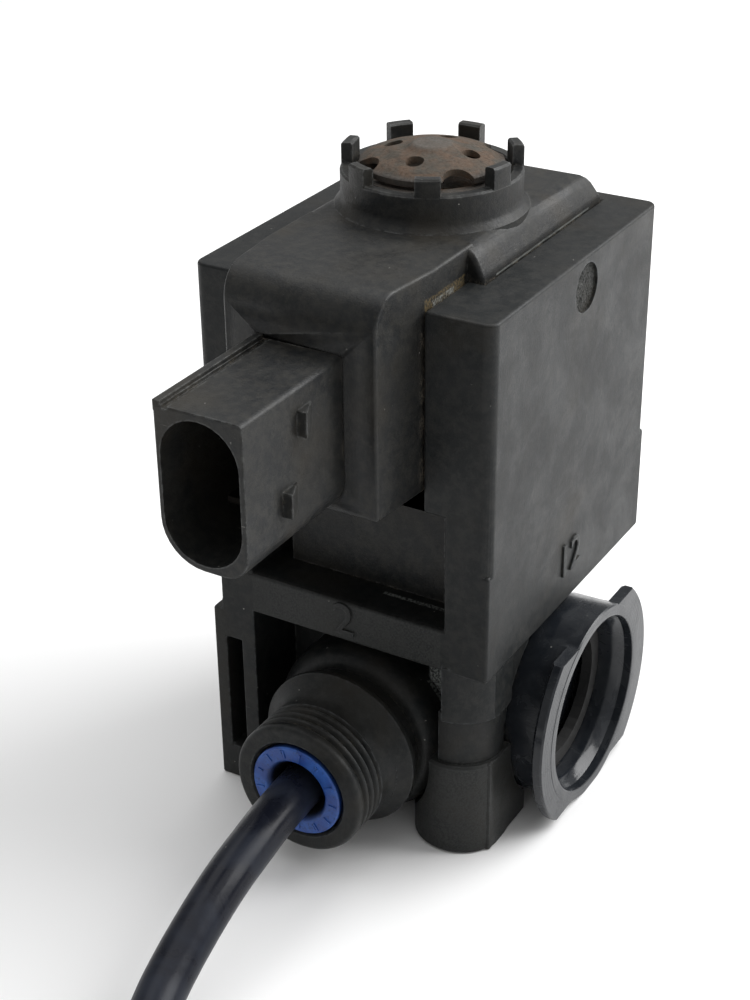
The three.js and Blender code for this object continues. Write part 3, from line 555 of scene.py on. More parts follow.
def blue_acetal():
    made, tree, shader, place = start_material("blue_acetal")
    cloud = noise_node(tree, place, 0.35, 4, 0.6)
    color = blend_colors(tree, ramp(tree, cloud, 0.35, 0.7),
                         (0.012, 0.055, 0.27), (0.03, 0.115, 0.42))
    seam = use_group(tree, DIRT_AND_SHADE, Place=place, Amount=0.9)
    grime = ramp(tree, noise_node(tree, place, 1.6, 4, 0.7), 0.52, 0.72, 0.0, 0.75)
    color = blend_colors(tree, grime, color, (0.012, 0.022, 0.06))
    # painted shade: darker blue where faces meet inwards, in the collet's creases and recesses
    color = blend_colors(tree, seam["Shade"], color, (0.006, 0.018, 0.07))
    # painted shade: near black inside the collet's bore, within about 4.1 to 4.9 mm of port 2's
    # axis
    across = node(tree, "ShaderNodeMapping", {
        "Vector": place, "Location": (0, 0, -PORT2_HEIGHT), "Scale": (1, 0, 1)}).outputs["Vector"]
    reach = node(tree, "ShaderNodeVectorMath", {0: across}, operation="LENGTH").outputs["Value"]
    color = blend_colors(tree, ramp(tree, reach, 4.9, 4.1), color, (0.003, 0.004, 0.007))
    bump(tree, shader, noise_node(tree, place, 2.2, 3), 0.03)
    return finish_with(made, tree, shader, color, ramp(tree, cloud, 0.3, 0.7, 0.34, 0.55))


def line_nylon():
    """Extruded tube: a blue-black skin with rubs and dust, and lighter streaks along its length
    that are partly drawn marks and partly a painted sheen.
    """
    made, tree, shader, place = start_material("line_nylon")
    uv = node(tree, "ShaderNodeTexCoord").outputs["UV"]
    drawn = node(tree, "ShaderNodeMapping", {"Vector": uv, "Scale": (2.5, 60, 1)}).outputs["Vector"]
    streak = noise_node(tree, drawn, 1.0, 4, 0.6)
    cloud = noise_node(tree, place, 0.18, 4, 0.6, 0.5)
    speck = use_group(tree, SPECKS, Place=place, Amount=0.8)["Mask"]
    color = blend_colors(tree, ramp(tree, cloud, 0.35, 0.7),
                         (0.006, 0.007, 0.012), (0.014, 0.017, 0.026))
    # partly painted sheen: lighter streaks along the length, drawn marks that also stand in for the
    # tube's long highlight
    color = blend_colors(tree, ramp(tree, streak, 0.62, 0.75, 0, 0.5), color, (0.035, 0.038, 0.045))
    color = blend_colors(tree, speck, color, (0.3, 0.3, 0.29))
    tree.links.new(color, shader.inputs["Base Color"])
    tree.links.new(ramp(tree, cloud, 0.3, 0.7, 0.24, 0.4), shader.inputs["Roughness"])
    shader.inputs["Specular IOR Level"].default_value = 0.16
    height = math_node(tree, "ADD", math_node(tree, "MULTIPLY", streak, 0.6), math_node(
        tree, "MULTIPLY", noise_node(tree, place, 1.2, 3), 0.5))
    bump(tree, shader, height, 0.02)
    return made


def rusty_steel():
    """Thin sheet gone brown: orange bloom, darker crust and crumbled relief."""
    made, tree, shader, place = start_material("rusty_steel")
    bloom = noise_node(tree, place, 0.42, 5, 0.65, 0.6)
    crust = noise_node(tree, place, 2.2, 5, 0.7)
    grit = noise_node(tree, place, 9.0, 2, 0.6)
    color = blend_colors(tree, ramp(tree, bloom, 0.34, 0.66),
                         (0.036, 0.03, 0.02), (0.072, 0.04, 0.02))
    color = blend_colors(tree, ramp(tree, crust, 0.54, 0.7, 0, 0.8), color, (0.02, 0.017, 0.014))
    color = blend_colors(tree, ramp(tree, grit, 0.6, 0.72, 0, 0.5), color, (0.15, 0.1, 0.06))
    # painted shade: darker brown where faces meet inwards, in creases and round the holes
    shade = use_group(tree, DIRT_AND_SHADE, Place=place, Amount=0.0)["Shade"]
    color = blend_colors(tree, math_node(tree, "MULTIPLY", shade, 0.7), color, (0.02, 0.014, 0.011))
    flat = node(tree, "ShaderNodeMapping", {"Vector": place, "Scale": (1, 1, 0)}).outputs["Vector"]
    reach = node(tree, "ShaderNodeVectorMath", {0: flat}, operation="LENGTH").outputs["Value"]
    color = blend_colors(tree, ramp(tree, reach, 3.1, 2.3, 0, 0.7), color, (0.066, 0.061, 0.053))
    color = blend_colors(tree, ramp(tree, reach, 8.4, 9.6, 0, 0.7), color, (0.03, 0.027, 0.024))
    height = math_node(tree, "ADD", crust, math_node(tree, "MULTIPLY", grit, 0.5))
    bump(tree, shader, height, 0.11)
    return finish_with(made, tree, shader, color, ramp(tree, crust, 0.3, 0.7, 0.55, 0.9))


def metal(name, color, rough, turned_about_z=True):
    """Bright metal with fine machining lines and a little tarnish."""
    made, tree, shader, place = start_material(name)
    stretch = (0.3, 0.3, 6) if turned_about_z else (6, 0.3, 0.3)
    lines = noise_node(tree, node(tree, "ShaderNodeMapping", {
        "Vector": place, "Scale": stretch}).outputs["Vector"], 1.0, 3, 0.6)
    tarnish = noise_node(tree, place, 0.4, 4, 0.6)
    dull = tuple(c * 0.45 for c in color)
    tree.links.new(blend_colors(tree, ramp(tree, tarnish, 0.45, 0.7), color, dull),
                   shader.inputs["Base Color"])
    tree.links.new(ramp(tree, lines, 0.3, 0.7, rough, rough + 0.2), shader.inputs["Roughness"])
    shader.inputs["Metallic"].default_value = 1.0
    bump(tree, shader, lines, 0.01)
    return made


def winding_copper():
    """Enamelled wire, wound turn on turn: a ridge for each wire."""
    made, tree, shader, place = start_material("copper")
    wires = node(tree, "ShaderNodeTexWave", {"Vector": place, "Scale": 1.6, "Distortion": 0.3},
                 wave_type="BANDS", bands_direction="Z").outputs["Fac"]
    tree.links.new(blend_colors(tree, wires, (0.16, 0.04, 0.015), (0.5, 0.17, 0.06)),
                   shader.inputs["Base Color"])
    shader.inputs["Metallic"].default_value = 1.0
    tree.links.new(ramp(tree, noise_node(tree, place, 0.6), 0.3, 0.7, 0.25, 0.4),
                   shader.inputs["Roughness"])
    bump(tree, shader, wires, 0.1)
    return made


def plain_moulded(name, color, shade, rough, depth):
    """Rubber or natural nylon: an even colour with a little mottling and texture."""
    made, tree, shader, place = start_material(name)
    mottle = noise_node(tree, place, 0.5, 4, 0.6)
    tree.links.new(blend_colors(tree, ramp(tree, mottle, 0.35, 0.7), shade, color),
                   shader.inputs["Base Color"])
    tree.links.new(ramp(tree, mottle, 0.3, 0.7, rough, rough + 0.15), shader.inputs["Roughness"])
    bump(tree, shader, noise_node(tree, place, 4.0, 3), depth)
    return made


GOLD_GREASE, PALE_GREASE, DUST = (0.1, 0.075, 0.038), (0.2, 0.21, 0.2), (0.026, 0.027, 0.026)
JOINT_GREASE = (
    (GOLD_GREASE, (12.2, -18.5, 81.6), (0.4, 5.0, 1.5), 1.0),
    (PALE_GREASE, (12.3, -20.0, 82.0), (0.12, 3.6, 0.5), 1.0),
    (PALE_GREASE, (14.66, 4.5, 82.02), (0.1, 14.0, 0.1), 0.3),
    (PALE_GREASE, (9.0, -19.5, 36.8), (5.5, 0.35, 0.5), 1.0),
)
BODY = nylon("body_nylon", (0.007, 0.0085, 0.009), (0.0155, 0.0165, 0.017), (0.36, 0.52),
             worn=1.3, specks=1.3, specular=0.19,
             grease=JOINT_GREASE + ((PALE_GREASE, (11.0, -17.2, 22.0), (1.6, 0.6, 3.4), 1.0),
                                    (PALE_GREASE, (17.2, -4.0, 24.0), (0.2, 12.0, 6.0), 1.0),
                                    (DUST, (15.5, -20.0, 8.0), (6.0, 5.0, 7.5), 0.8),
                                    (DUST, (0.0, -24.5, 33.5), (15.0, 1.0, 3.5), 0.8)))
COVER = nylon("cover_nylon", (0.0085, 0.0095, 0.0105), (0.019, 0.0195, 0.019), (0.34, 0.56),
              worn=1.5, dirt=1.6, specks=1.9, grain=2.6, depth=0.05, specular=0.24,
              grease=JOINT_GREASE)
PIN = nylon("pin_nylon", (0.0035, 0.004, 0.004), (0.017, 0.018, 0.017), (0.42, 0.66), worn=0.8,
            specks=1.4, grain=2.6, depth=0.16, specular=0.19)
GLOSS = glossy_nylon()
BLUE = blue_acetal()
LINE = line_nylon()
RUST = rusty_steel()
STEEL = metal("steel", (0.42, 0.42, 0.43), 0.28)
BRASS = metal("brass", (0.5, 0.33, 0.12), 0.3, False)
# painted shade: brass made near black for the connector terminals, which sit in the socket's shadow
SHADED_BRASS = metal("brass_in_painted_shade", (0.02, 0.018, 0.016), 0.55, False)
COPPER = winding_copper()
RUBBER = plain_moulded("rubber", (0.014, 0.014, 0.014), (0.008, 0.008, 0.008), 0.6, 0.02)
NATURAL = plain_moulded("natural_nylon", (0.52, 0.44, 0.31), (0.42, 0.34, 0.22), 0.5, 0.02)


# ---- Air line ----
LEVEL = 3.275
LINE_ROUTE = [
    (0, -20, 13.6), (0, -29, 13.6), (0.1, -38, 13.6), (0.5, -45.1, 13.5), (0.9, -49.9, 13.2),
    (1.1, -55.5, 12.3), (1.3, -60.4, 11), (1.5, -64.8, 9.5), (1.8, -69, 8), (2.5, -73.5, 6.6),
    (5.4, -82.0, 5.2), (10.1, -89.7, 4.2), (16.4, -96.2, 3.6), (23.9, -101.1, LEVEL),
    (32.3, -104.4, LEVEL), (41.2, -105.7, LEVEL), (50.2, -105.1, LEVEL), (58.8, -102.5, LEVEL),
    (66.7, -98.1, LEVEL), (73.4, -92.2, LEVEL), (78.7, -84.9, LEVEL), (82.3, -76.6, LEVEL),
    (84.0, -67.8, LEVEL), (83.8, -58.8, LEVEL),
]


def air_line():
    """Nylon tube swept along its route, its far end square cut with the bore showing."""
    data = bpy.data.curves.new("air_line", "CURVE")
    data.dimensions = "3D"
    data.bevel_depth = LINE_RADIUS * MM
    data.bevel_resolution = 8
    data.resolution_u = 8
    spline = data.splines.new("BEZIER")
    spline.bezier_points.add(len(LINE_ROUTE) - 1)
    for point, place in zip(spline.bezier_points, LINE_ROUTE):
        point.co = Vector(place) * MM
        point.handle_left_type = point.handle_right_type = "AUTO"
    sweep = placed("sweep", data)
    shape = bmesh.new()
    swept = evaluated(sweep)
    shape.from_mesh(swept)
    bpy.data.objects.remove(sweep)
    bpy.data.meshes.remove(swept)
    bmesh.ops.scale(shape, vec=(1 / MM,) * 3, verts=shape.verts)
    for end, inward in ((0, 1), (-1, -1)):
        tip = Vector(LINE_ROUTE[end])
        along = (Vector(LINE_ROUTE[end + inward]) - tip).normalized()
        rim = [e for e in shape.edges if e.is_boundary
               and (e.verts[0].co - tip).length < 2 * LINE_RADIUS]
        for share, depth in ((0.96, -0.12), (0.74, 0), (0.7, 0.15), (1, 12), (0.02, 0)):
            lip = bmesh.ops.extrude_edge_only(shape, edges=rim)["geom"]
            verts, rim = only_verts(lip), only_edges(lip)
            middle = sum((v.co for v in verts), Vector()) / len(verts)
            for vert in verts:
                vert.co = middle + (vert.co - middle) * share + along * depth
        bmesh.ops.holes_fill(shape, edges=rim, sides=0)
    bmesh.ops.recalc_face_normals(shape, faces=shape.faces)
    made = piece("air_line_tube", shape, LINE, stands_for=["air_line"], smooth=50)


air_line()


# ---- Valve body ----
def housing():
    upper = block(-HALF_WIDTH, HALF_WIDTH, FRONT, BACK, BAND_TOP - 0.6, HOUSING_TOP, upright=1.6)
    band = block(BAND_LEFT, HALF_WIDTH - 0.01, FRONT + 0.01, BACK - 0.01,
                 HOUSING_BOTTOM, BAND_TOP + 3)
    lower = block(-POCKET_HALF, POCKET_HALF, FRONT - 1, POCKET_BACK, POCKET_FLOOR, WINDOW_STEP)
    window = block(-WINDOW_HALF, WINDOW_HALF, FRONT - 1, SHOULDER_BACK + 1,
                   WINDOW_STEP - 1, HOUSING_TOP + 1)
    pocket = block(-LIP_HALF, LIP_HALF, SHOULDER_BACK, POCKET_BACK,
                   WINDOW_STEP - 1, HOUSING_TOP + 1)
    halves = []
    for half in (upper, band):
        shape = clean(cut(half, lower.copy(), window.copy(), pocket.copy()))
        halves.append(round_edges(shape, 0.45, corners(shape), 3))
    for used in (lower, window, pocket):
        used.free()
    return add(*halves)


def left_leg():
    leg = block(-HALF_WIDTH, -15, FRONT, 15.6, 0, HOUSING_BOTTOM - 1)
    neck = block(BAND_LEFT, -15, FRONT, 15.6, HOUSING_BOTTOM - 2, HOUSING_BOTTOM + 1)
    slit = block(-19.9, -17.4, FRONT - 1, FRONT + 13, 5.7, 24.8)
    shape = clean(cut(add(leg, neck), slit))
    return round_edges(shape, 0.35, corners(shape), 2)


def bolt_boss():
    """Round column under the housing's corner, flat on its outer side, with a nut slot."""
    x, y, radius, side = 15.2, -17.9, 6.7, 21.4
    slot_low, slot_high, slot_left, slot_depth = 15.0, 22.2, 14.4, 0.9
    column = rod(radius, 0, slot_low, 2, (x, y, 0), soften=0.35)
    corner = block(x, side, y - 3.4, y + 8, 0, slot_low, soften=0.35)
    neck = rod(radius - slot_depth, slot_low - 1, slot_high + 1, 2, (x, y, 0))
    neck = cut(neck, block(x - 9, slot_left, y - 9, y + 9, slot_low, slot_high + 2))
    head = rod(radius, slot_high, HOUSING_BOTTOM + 1, 2, (x, y, 0), soften=0.3)
    head = cut(head, block(x - 9, x + 0.1, y - 9, y + 9, slot_high - 1, HOUSING_BOTTOM + 2))
    web = block(x - 6, side - 1.2, y + 1, -8, 0, HOUSING_BOTTOM + 1)
    flat = block(side, side + 5, -40, 20, -1, HOUSING_BOTTOM + 0.5)
    bolt = rod(2.65, -1, 17.8, 2, (x, y, 0), steps=40)
    fitting_room = rod(13.35, -40, -19.6, 1, (0, 0, PORT2_HEIGHT), steps=96)
    return cut(add(column, corner, neck, head, web), flat, bolt, fitting_room)


def rear_boss():
    barrel = rod(6.7, 0, HOUSING_BOTTOM + 1, 2, (-15.2, 17.9, 0), soften=0.4)
    return cut(barrel, rod(2.65, -1, 17.8, 2, (-15.2, 17.9, 0), steps=40))


def valve_body():
    core = block(-16, 13, -14, 20, 0.01, HOUSING_BOTTOM + 1, soften=0.4)
    port2 = turned(
        [(0, -13), (13.3, -13), (13.3, -19.4), (13.2, -20.3), (12.9, -21.1), (12.45, -21.8),
         (11.8, -22.3), (11.0, -22.6), (8.3, -22.6), (8.3, -14), (0, -14)],
        1, (0, 0, PORT2_HEIGHT), closed=False,
    )
    port12 = turned(
        [(0, 8), (15.1, 8), (15.1, 16.9), (14.8, 17.2), (10, 17.2), (10, 9), (0, 9)],
        0, (0, 0, PORT12_HEIGHT), closed=False,
    )
    shape = add(housing(), core, left_leg(), bolt_boss(), rear_boss())
    room = rod(15.2, 17.2, 40, 0, (0, 0, PORT12_HEIGHT))
    shape = cut(shape, room)
    shape = add(shape, port2, port12)
    holes = [rod(3.4, side * 21.5, side * 23, 0, (0, 2.3, 77.5), 48) for side in (1, -1)]
    for hole in holes:
        bmesh.ops.recalc_face_normals(hole, faces=hole.faces)
    shape = cut(shape, block(-60, 60, -60, 60, -10, 0), *holes)
    piece("valve_body_moulding", shape, BODY, stands_for=["valve_body"])


valve_body()


# ---- Coil cover ----
def cover_rear():
    """The cover's rear block: its top rolls down to the seam at both sides and the back."""
    half, front, back = LIP_HALF - SEAM, SHOULDER_BACK + SEAM, POCKET_BACK - SEAM
    foot = POCKET_FLOOR + SEAM
    slope = [(COIL_TOP, 3.6), (86.3, 2.9), (86.0, 2.2), (85.45, 1.55), (84.7, 1.05), (83.8, 0.65),
             (83.0, 0.3), (82.4, 0)]
    right = [(z, half - inset) for z, inset in slope]
    left = [(z, inset - half) for z, inset in slope[::-1]]
    across = prism([(foot, -half), *left, *right, (foot, half)], 1, front, back)
    rear = [(back - 1.15 * inset, z) for z, inset in slope]
    along = prism([(front, foot), (front, COIL_TOP), *rear, (back, foot)], 0, -half - 1, half + 1)
    shape = clean(combine(across, [along], "INTERSECT"))
    ends = [e for e in shape.edges if len(e.link_faces) == 2 and e.calc_face_angle() > 0.8
            and all(v.co.z > 82 and v.co.y < front + 0.1 for v in e.verts)]
    return round_edges(shape, 0.7, ends, 4)


def cover_foot():
    half = WINDOW_HALF - SEAM
    return block(-half, half, COIL_FACE, SHOULDER_BACK + 1, POCKET_FLOOR + SEAM, NOSE_BOTTOM + 1)


def nose():
    half = WINDOW_HALF - SEAM
    shape = block(-half, half, NOSE_FACE, SHOULDER_BACK + 2, NOSE_BOTTOM, COIL_TOP)
    bmesh.ops.bisect_plane(
        shape, geom=shape.verts[:] + shape.edges[:] + shape.faces[:],
        plane_co=(0, FRONT + 3, 0), plane_no=(0, 1, 0),
    )
    for vert in shape.verts:
        if vert.co.y < NOSE_FACE + 0.1:
            vert.co.x *= NOSE_HALF / half
    brow = [e for e in shape.edges if runs_along(e, 0)
            and all(v.co.y < NOSE_FACE + 0.1 and v.co.z > COIL_TOP - 0.1 for v in e.verts)]
    round_edges(shape, NOSE_ROUND, brow, 8)
    return round_edges(shape, 0.4, corners(shape), 3)


def shroud():
    radii = [6.0, 3.5, 0.7, 0.7]
    outline = rounded_outline(-SHROUD_HALF, SHROUD_HALF, SHROUD_BOTTOM, SHROUD_TOP, radii)
    body = prism([(z, x) for x, z in outline], 1, SHROUD_FRONT, NOSE_FACE + 1)
    round_edges(body, 0.35, corners(body, 60), 2)
    rail = block(-SHROUD_HALF, 1.1 - SHROUD_HALF, SHROUD_FRONT + 0.02, NOSE_FACE + 1,
                 SHROUD_TOP - 1, SHROUD_TOP + 0.5, soften=0.15)
    groove = block(1.3 - SHROUD_HALF, 2.1 - SHROUD_HALF, SHROUD_FRONT - 1, NOSE_FACE,
                   SHROUD_TOP - 0.4, SHROUD_TOP + 1, soften=0.12)
    ramps = []
    for y, z in ((-43.9, 73.8), (-47.5, 64.6)):
        wedge = [(SHROUD_HALF - 0.5, y), (SHROUD_HALF + 1.35, y), (SHROUD_HALF + 1.3, y + 0.5),
                 (SHROUD_HALF + 0.02, y + 3.3), (SHROUD_HALF - 0.5, y + 3.3)]
        ramps.append(prism(wedge, 2, z - 1.7, z + 1.7, soften=0.16))
    return cut(add(body, rail, *ramps), groove)


def plug_socket():
    radius = SOCKET_HALF - 0.05
    outline = rounded_outline(
        -SOCKET_HALF, SOCKET_HALF, SHROUD_BOTTOM + 0.9, SHROUD_TOP - 1, [radius] * 4)
    return prism([(z, x) for x, z in outline], 1, SHROUD_FRONT - 1, SOCKET_BACK)


def neck():
    wall = turned(
        [(0, COIL_TOP - 2), (13.1, COIL_TOP - 2), (13.1, COIL_TOP - 0.1), (12.9, COIL_TOP + 0.2),
         (12.5, COIL_TOP + 0.6), (12.27, COIL_TOP + 1.1), (NECK_RADIUS, COIL_TOP + 1.7),
         (NECK_RADIUS, NECK_RIM - 0.25),
         (NECK_RADIUS - 0.25, NECK_RIM), (NECK_INNER + 0.2, NECK_RIM),
         (NECK_INNER, NECK_RIM - 0.2), (NECK_INNER, CUP_FLOOR), (0, CUP_FLOOR)],
        2, closed=False,
    )
    tabs = []
    for i in range(7):
        top = TAB_TOP - (0.45 if i in (0, 6) else 0)
        ring = turned([(NECK_INNER + 0.02, NECK_RIM - 1), (NECK_RADIUS - 0.02, NECK_RIM - 1),
                       (NECK_RADIUS - 0.02, top - 0.25), (NECK_RADIUS - 0.27, top),
                       (NECK_INNER + 0.27, top), (NECK_INNER + 0.02, top - 0.25)], 2)
        tab = block(8, 14, -1.65, 1.65, NECK_RIM - 2, TAB_TOP + 1)
        tabs.append(combine(turn(tab, -64 + 360 / 7 * i, "Z"), [ring], "INTERSECT"))
    return add(wall, *tabs)


def coil_cover():
    shape = add(cover_rear(), cover_foot(), nose(), shroud(), neck())
    cup = rod(NECK_INNER, CUP_FLOOR, TAB_TOP + 2, 2, steps=96)
    shape = cut(shape, plug_socket(), cup)
    piece("coil_cover_moulding", shape, COVER, stands_for=["coil_cover"])


coil_cover()


# ---- Lock pins: rough plugs sunk in the housing's sides ----
PIN_RADIUS, PIN_SINK, PIN_RELIEF, PIN_PLACE = 3.6, 0.42, 0.15, (2.3, 77.5)


def lock_pins():
    for name, side in (("right", 1), ("left", -1)):
        shape = bmesh.new()
        bmesh.ops.create_grid(shape, x_segments=48, y_segments=48, size=PIN_RADIUS)
        for vert in shape.verts:
            x, y = vert.co.x, vert.co.y
            reach = max(abs(x), abs(y)) / max(math.hypot(x, y), 1e-6)
            vert.co.x, vert.co.y = x * reach, y * reach
            coarse, fine = (x * 2.6, y * 2.6, side * 4), (x * 5, y * 5, 9)
            vert.co.z = PIN_RELIEF * (field(Vector(coarse)) + 0.6 * field(Vector(fine)))
        rim = [e for e in shape.edges if e.is_boundary]
        skirt = bmesh.ops.extrude_edge_only(shape, edges=rim)["geom"]
        for vert in only_verts(skirt):
            vert.co.z = -1.5
        bmesh.ops.contextual_create(shape, geom=only_edges(skirt))
        bmesh.ops.recalc_face_normals(shape, faces=shape.faces)
        turn(shape, 90 * side, "Y")
        shift(shape, (side * (HALF_WIDTH - PIN_SINK), *PIN_PLACE))
        piece("lock_pin_" + name + "_plug", shape, PIN,
              stands_for=["lock_pin_" + name])


lock_pins()


# ---- Port numerals ----
def numeral(name, text, height, place, facing):
    """A raised numeral on a face: facing is the turn about Z that points it outwards."""
    data = bpy.data.curves.new(name, "FONT")
    data.body = text
    data.align_x, data.align_y = "CENTER", "CENTER"
    data.size = height / 0.7
    data.extrude = 0.25
    data.bevel_depth, data.bevel_resolution = 0.06, 1
    data.resolution_u = 6
    letters = placed(name, data)
    mesh = evaluated(letters)
    bpy.data.objects.remove(letters)
    shape = bmesh.new()
    shape.from_mesh(mesh)
    bpy.data.meshes.remove(mesh)
    turn(shape, 90, "X")
    turn(shape, facing, "Z")
    shift(shape, place)
    bmesh.ops.remove_doubles(shape, verts=shape.verts, dist=1e-3)
    bmesh.ops.recalc_face_normals(shape, faces=shape.faces)
    piece(name, shape, BODY)


numeral("numeral_port2", "2", 4.9, (0, FRONT, 33.7), 0)
numeral("numeral_port12", "12", 5.0, (HALF_WIDTH, 0.5, 37.4), 90)


# ---- Exhaust cap: thin domed disc with holes, edge notches and a raised middle ----
def exhaust_cap():
    radius, edge, rise, sheet = 9.6, 92.3, 1.9, 0.8
    dome = (radius ** 2 + rise ** 2) / (2 * rise)
    centre = edge + rise - dome

    def skin(drop, count=14):
        reaches = [radius * i / count for i in range(count + 1)]
        return [(r, centre + math.sqrt(dome ** 2 - r ** 2) - drop) for r in reaches]

    def crown(r, z):
        lift = 0.32 * min(1, max(0, (3.3 - r) / 0.8))
        ripple = 0.05 * math.cos(r * 2.4)
        return (r, z + lift + ripple)

    top = [crown(r, z) for r, z in skin(0, 28)]
    lip = [(radius - 0.15, edge + 0.03), (radius, edge - 0.1), (radius, edge - sheet + 0.1)]
    shape = turned(skin(sheet) + lip[::-1] + top[::-1][1:], 2, closed=False)
    cutters = []
    for i in range(4):
        for angle, reach, size in ((5 + 90 * i, 5.6, 1.15), (50 + 90 * i, 9.7, 2.2)):
            a = math.radians(angle)
            cutters.append(turned(
                [(0, 88), (size, 88), (size, edge + 0.9 if size > 2 else 93.0),
                 (size + 0.4, 95.5), (0, 95.5)],
                2, (reach * math.cos(a), reach * math.sin(a), 0), steps=32, closed=False))
    shape = cut(shape, *cutters)
    piece("exhaust_cap_disc", shape, RUST, stands_for=["exhaust_cap"])


exhaust_cap()


# ---- Port 2: ridged push-in barrel and blue release collet ----
def port2_barrel():
    rim, barrel, root = PORT2_RIM, 9.9, 9.15
    ridges = []
    for i in range(4):
        y = rim + 1.75 + 1.35 * i
        ridges += [(barrel, y - 0.36), (barrel - 0.12, y - 0.2), (root + 0.1, y - 0.08),
                   (root, y + 0.06), (root, y + 0.2), (root + 0.1, y + 0.34),
                   (barrel - 0.16, y + 0.5), (barrel - 0.04, y + 0.62)]
    profile = [
        (7.35, rim + 0.2), (7.55, rim), (barrel - 0.75, rim), (barrel - 0.35, rim + 0.12),
        (barrel - 0.1, rim + 0.4), (barrel, rim + 0.8), *ridges,
        (9.3, -30.6), (9.45, -29.4), (9.9, -28.3), (10.8, -27.3), (11.7, -26.75), (12.0, -26.4),
        (12.0, -25.7), (11.8, -25.4), (10.9, -24.9), (10.6, -22.5), (8.0, -22.4), (8.0, -14.4),
        (2.2, -14.4), (2.2, -19.7), (3.5, -19.7), (3.5, -24.2), (5.2, -24.2), (5.2, -34.6),
        (7.1, -34.6), (7.1, rim + 0.5),
    ]
    shape = turned(profile, 1, (0, 0, PORT2_HEIGHT), steps=112)
    piece("port2_barrel", shape, BODY, stands_for=["port2_cartridge"], smooth=40)


def date_ticks():
    """A short row of raised ticks on the barrel's flare, in place of a mould date."""
    shape = bmesh.new()
    for row, count, reach in ((0, 5, 10.05), (1, 4, 10.6)):
        for i in range(count):
            tick = block(reach, reach + 0.22, -0.09, 0.09, -0.42, 0.42, soften=0.03)
            turn(tick, -12 * row, "Y")
            mesh = bpy.data.meshes.new("tick")
            tick.to_mesh(mesh)
            tick.free()
            start = len(shape.verts)
            shape.from_mesh(mesh)
            bpy.data.meshes.remove(mesh)
            shape.verts.ensure_lookup_table()
            fresh = shape.verts[start:]
            bmesh.ops.rotate(
                shape, cent=(0, 0, 0), matrix=Matrix.Rotation(math.radians(-6 + 6.5 * i), 3, "Y"),
                verts=fresh)
            bmesh.ops.translate(shape, vec=(0, -27.9 + 0.9 * row, PORT2_HEIGHT), verts=fresh)
    piece("port2_mould_ticks", shape, BODY)


def release_collet():
    profile = [
        (6.75, -36.4), (6.9, -36.6), (6.9, -37.7), (6.7, -37.9), (5.0, -37.9), (4.7, -37.75),
        (4.2, -37.0), (3.75, -35.8), (3.55, -34.4), (3.5, -29), (4.9, -29), (4.9, -36.3),
    ]
    shape = turned(profile, 1, (0, 0, PORT2_HEIGHT), steps=96)
    marks = []
    for i in range(22):
        if i in (4, 9, 10, 15, 21):
            continue
        tall = 0.62 if i % 3 else 0.4
        mark = block(5.85 - tall, 5.85 + tall, -0.14, 0.14, -0.14, 0.14, soften=0.04)
        turn(mark, 12 * (i % 5) - 24, "Y")
        turn(mark, 360 / 22 * i, "Y")
        marks.append(shift(mark, (0, -37.9, PORT2_HEIGHT)))
    shape = add(shape, *marks)
    piece("port2_collet_ring", shape, BLUE, body="release_collet",
          stands_for=["port2_collet"], smooth=40)


port2_barrel()
date_ticks()
release_collet()


# ---- Port 12: glossy stepped socket with an eared flange ----
def port12_socket():
    barrel = turned(
        [(13.25, PORT12_FACE - 0.1), (13.45, PORT12_FACE), (14.75, PORT12_FACE),
         (14.95, PORT12_FACE - 0.2),
         (14.9, 26), (14.75, 24), (14.7, 20.2), (14.55, 19.9), (14.1, 19.75), (13.95, 19.4),
         (14.05, 19.0), (14.5, 18.8), (14.65, 18.5), (14.65, 17.65), (14.5, 17.5), (9.7, 17.5),
         (9.7, 13.6), (8.6, 13.6), (8.6, 11.6), (9.7, 11.6), (9.7, 9.3), (7.6, 9.3), (7.6, 15),
         (7.75, 15.3), (8.8, 16.3), (8.9, 16.6), (8.9, 19.1), (9.15, 19.5), (11.8, 20.2),
         (12.1, 20.5), (12.1, 24.3), (12.25, 24.8), (12.6, 25.5), (12.9, 25.8), (13.2, 26.2)],
        0, (0, 0, PORT12_HEIGHT), steps=128,
    )
    flange = turned(
        [(13.6, PORT12_FACE - 1.75), (17.5, PORT12_FACE - 1.75), (17.9, PORT12_FACE - 1.35),
         (17.9, PORT12_FACE - 0.3), (17.7, PORT12_FACE - 0.05), (13.6, PORT12_FACE - 0.05)],
        0, (0, 0, PORT12_HEIGHT), steps=128,
    )
    for side in (1, -1):
        cutoff = bmesh.ops.bisect_plane(
            flange, geom=flange.verts[:] + flange.edges[:] + flange.faces[:],
            plane_co=(0, 0, PORT12_HEIGHT + side * 13.2), plane_no=(0, 0, side), clear_outer=True,
        )
        bmesh.ops.holes_fill(flange, edges=only_edges(cutoff["geom_cut"]), sides=0)
    shape = add(barrel, flange)
    shape = cut(shape, block(0, 60, -40, 40, -10, 0.01))
    piece("port12_socket_moulding", shape, GLOSS, stands_for=["port12_socket"])


port12_socket()


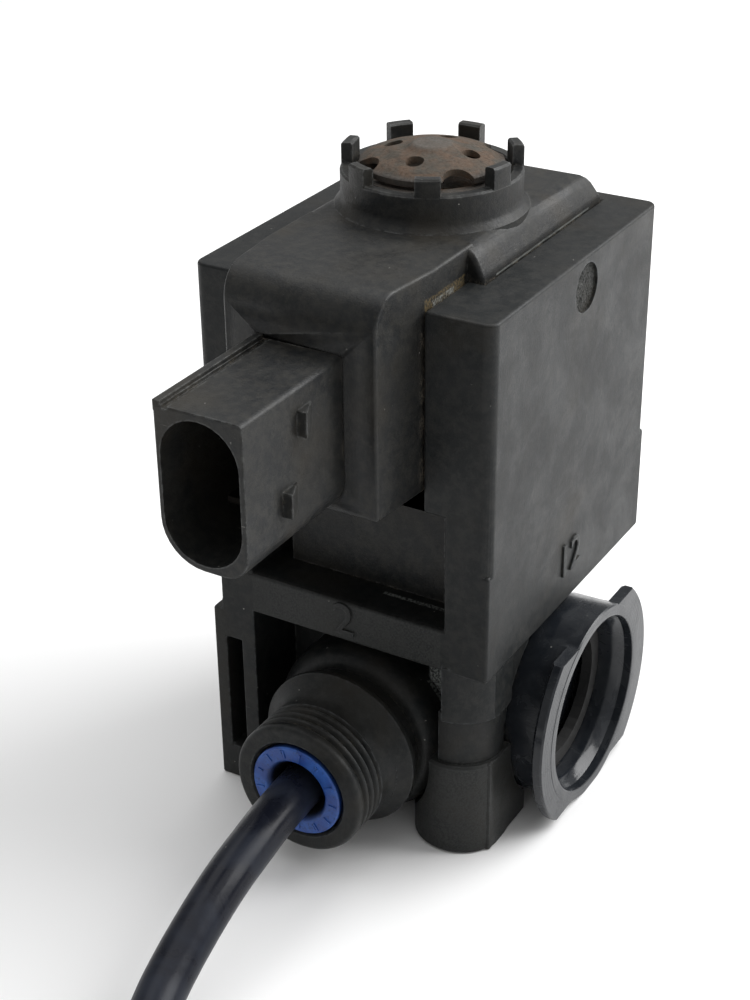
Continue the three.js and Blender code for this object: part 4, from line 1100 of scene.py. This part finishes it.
# ---- Return spring, and the pieces kept from the frame with a new finish ----
def return_coil():
    """Wire coil of five turns, built at one fixed length; the real spring closes up, turn on turn,
    as the armature lifts.
    """
    wire, radius, bottom, top, turns, steps = 0.35, 4.6, 57.45, 63.58, 5, 200
    rise = top - bottom - 2 * wire
    shape = bmesh.new()
    bmesh.ops.create_circle(shape, cap_ends=False, segments=12, radius=wire)
    turn(shape, 90, "X")
    shift(shape, (radius, 0, bottom + wire))
    bmesh.ops.spin(
        shape, geom=shape.verts[:] + shape.edges[:], cent=(0, 0, 0), axis=(0, 0, 1),
        dvec=(0, 0, rise / steps), angle=2 * math.pi * turns, steps=steps, use_merge=False)
    bmesh.ops.holes_fill(shape, edges=[e for e in shape.edges if e.is_boundary], sides=0)
    bmesh.ops.recalc_face_normals(shape, faces=shape.faces)
    made = piece("return_spring_coil", shape, STEEL, stands_for=["return_spring"])
    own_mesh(made)


return_coil()
KEPT = {
    # the terminals get the brass darkened as painted shade
    "connector_terminal_lower": SHADED_BRASS, "connector_terminal_upper": SHADED_BRASS,
    "yoke_frame": STEEL,
    "bobbin": NATURAL, "coil_winding": COPPER, "guide_tube": BRASS, "fixed_core": STEEL,
    "core_seal": RUBBER, "armature": STEEL, "armature_lower_seal": RUBBER,
    "armature_upper_seal": RUBBER, "seat_insert": BRASS,
    "exhaust_screen": RUST, "exhaust_cap_ring": RUST, "port2_grip_ring": STEEL,
    "port2_line_seal": RUBBER, "port12_body_seal": RUBBER, "port12_plug_seal": RUBBER,
    "port12_screen": STEEL,
}
for kept_node, finish in KEPT.items():
    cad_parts[kept_node].data.materials.clear()
    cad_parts[kept_node].data.materials.append(finish)


# ---- Floor and light ----
FLOOR_PAINT = (0.9, 0.9, 0.9, 1)
WORLD_LIGHT = 0.43
SOFT_BOXES = (
    ("side_box", (0.38, 0.36, 0.42), 0.5, 5.6), ("top_box", (-0.1, 0.15, 0.8), 0.9, 4.2),
)


def studio():
    floor = bmesh.new()
    bmesh.ops.create_grid(floor, x_segments=1, y_segments=1, size=4)
    mesh = bpy.data.meshes.new("floor")
    floor.to_mesh(mesh)
    floor.free()
    paint = bpy.data.materials.new("floor_paint")
    paint.use_nodes = True
    shader = paint.node_tree.nodes["Principled BSDF"]
    shader.inputs["Base Color"].default_value = FLOOR_PAINT
    shader.inputs["Roughness"].default_value = 0.9
    shader.inputs["Specular IOR Level"].default_value = 0.1
    mesh.materials.append(paint)
    placed("floor", mesh)
    world = bpy.data.worlds.new("studio")
    world.use_nodes = True
    world.node_tree.nodes["Background"].inputs["Color"].default_value = (1, 1, 1, 1)
    world.node_tree.nodes["Background"].inputs["Strength"].default_value = WORLD_LIGHT
    bpy.context.scene.world = world
    for name, place, size, power in SOFT_BOXES:
        light = bpy.data.lights.new(name, "AREA")
        light.size, light.energy = size, power
        lamp = placed(name, light)
        lamp.location = place
        aim = Vector((0, 0, 0.045)) - lamp.location
        lamp.rotation_euler = aim.to_track_quat("-Z", "Y").to_euler()
    bpy.context.scene.view_settings.view_transform = "Standard"


studio()
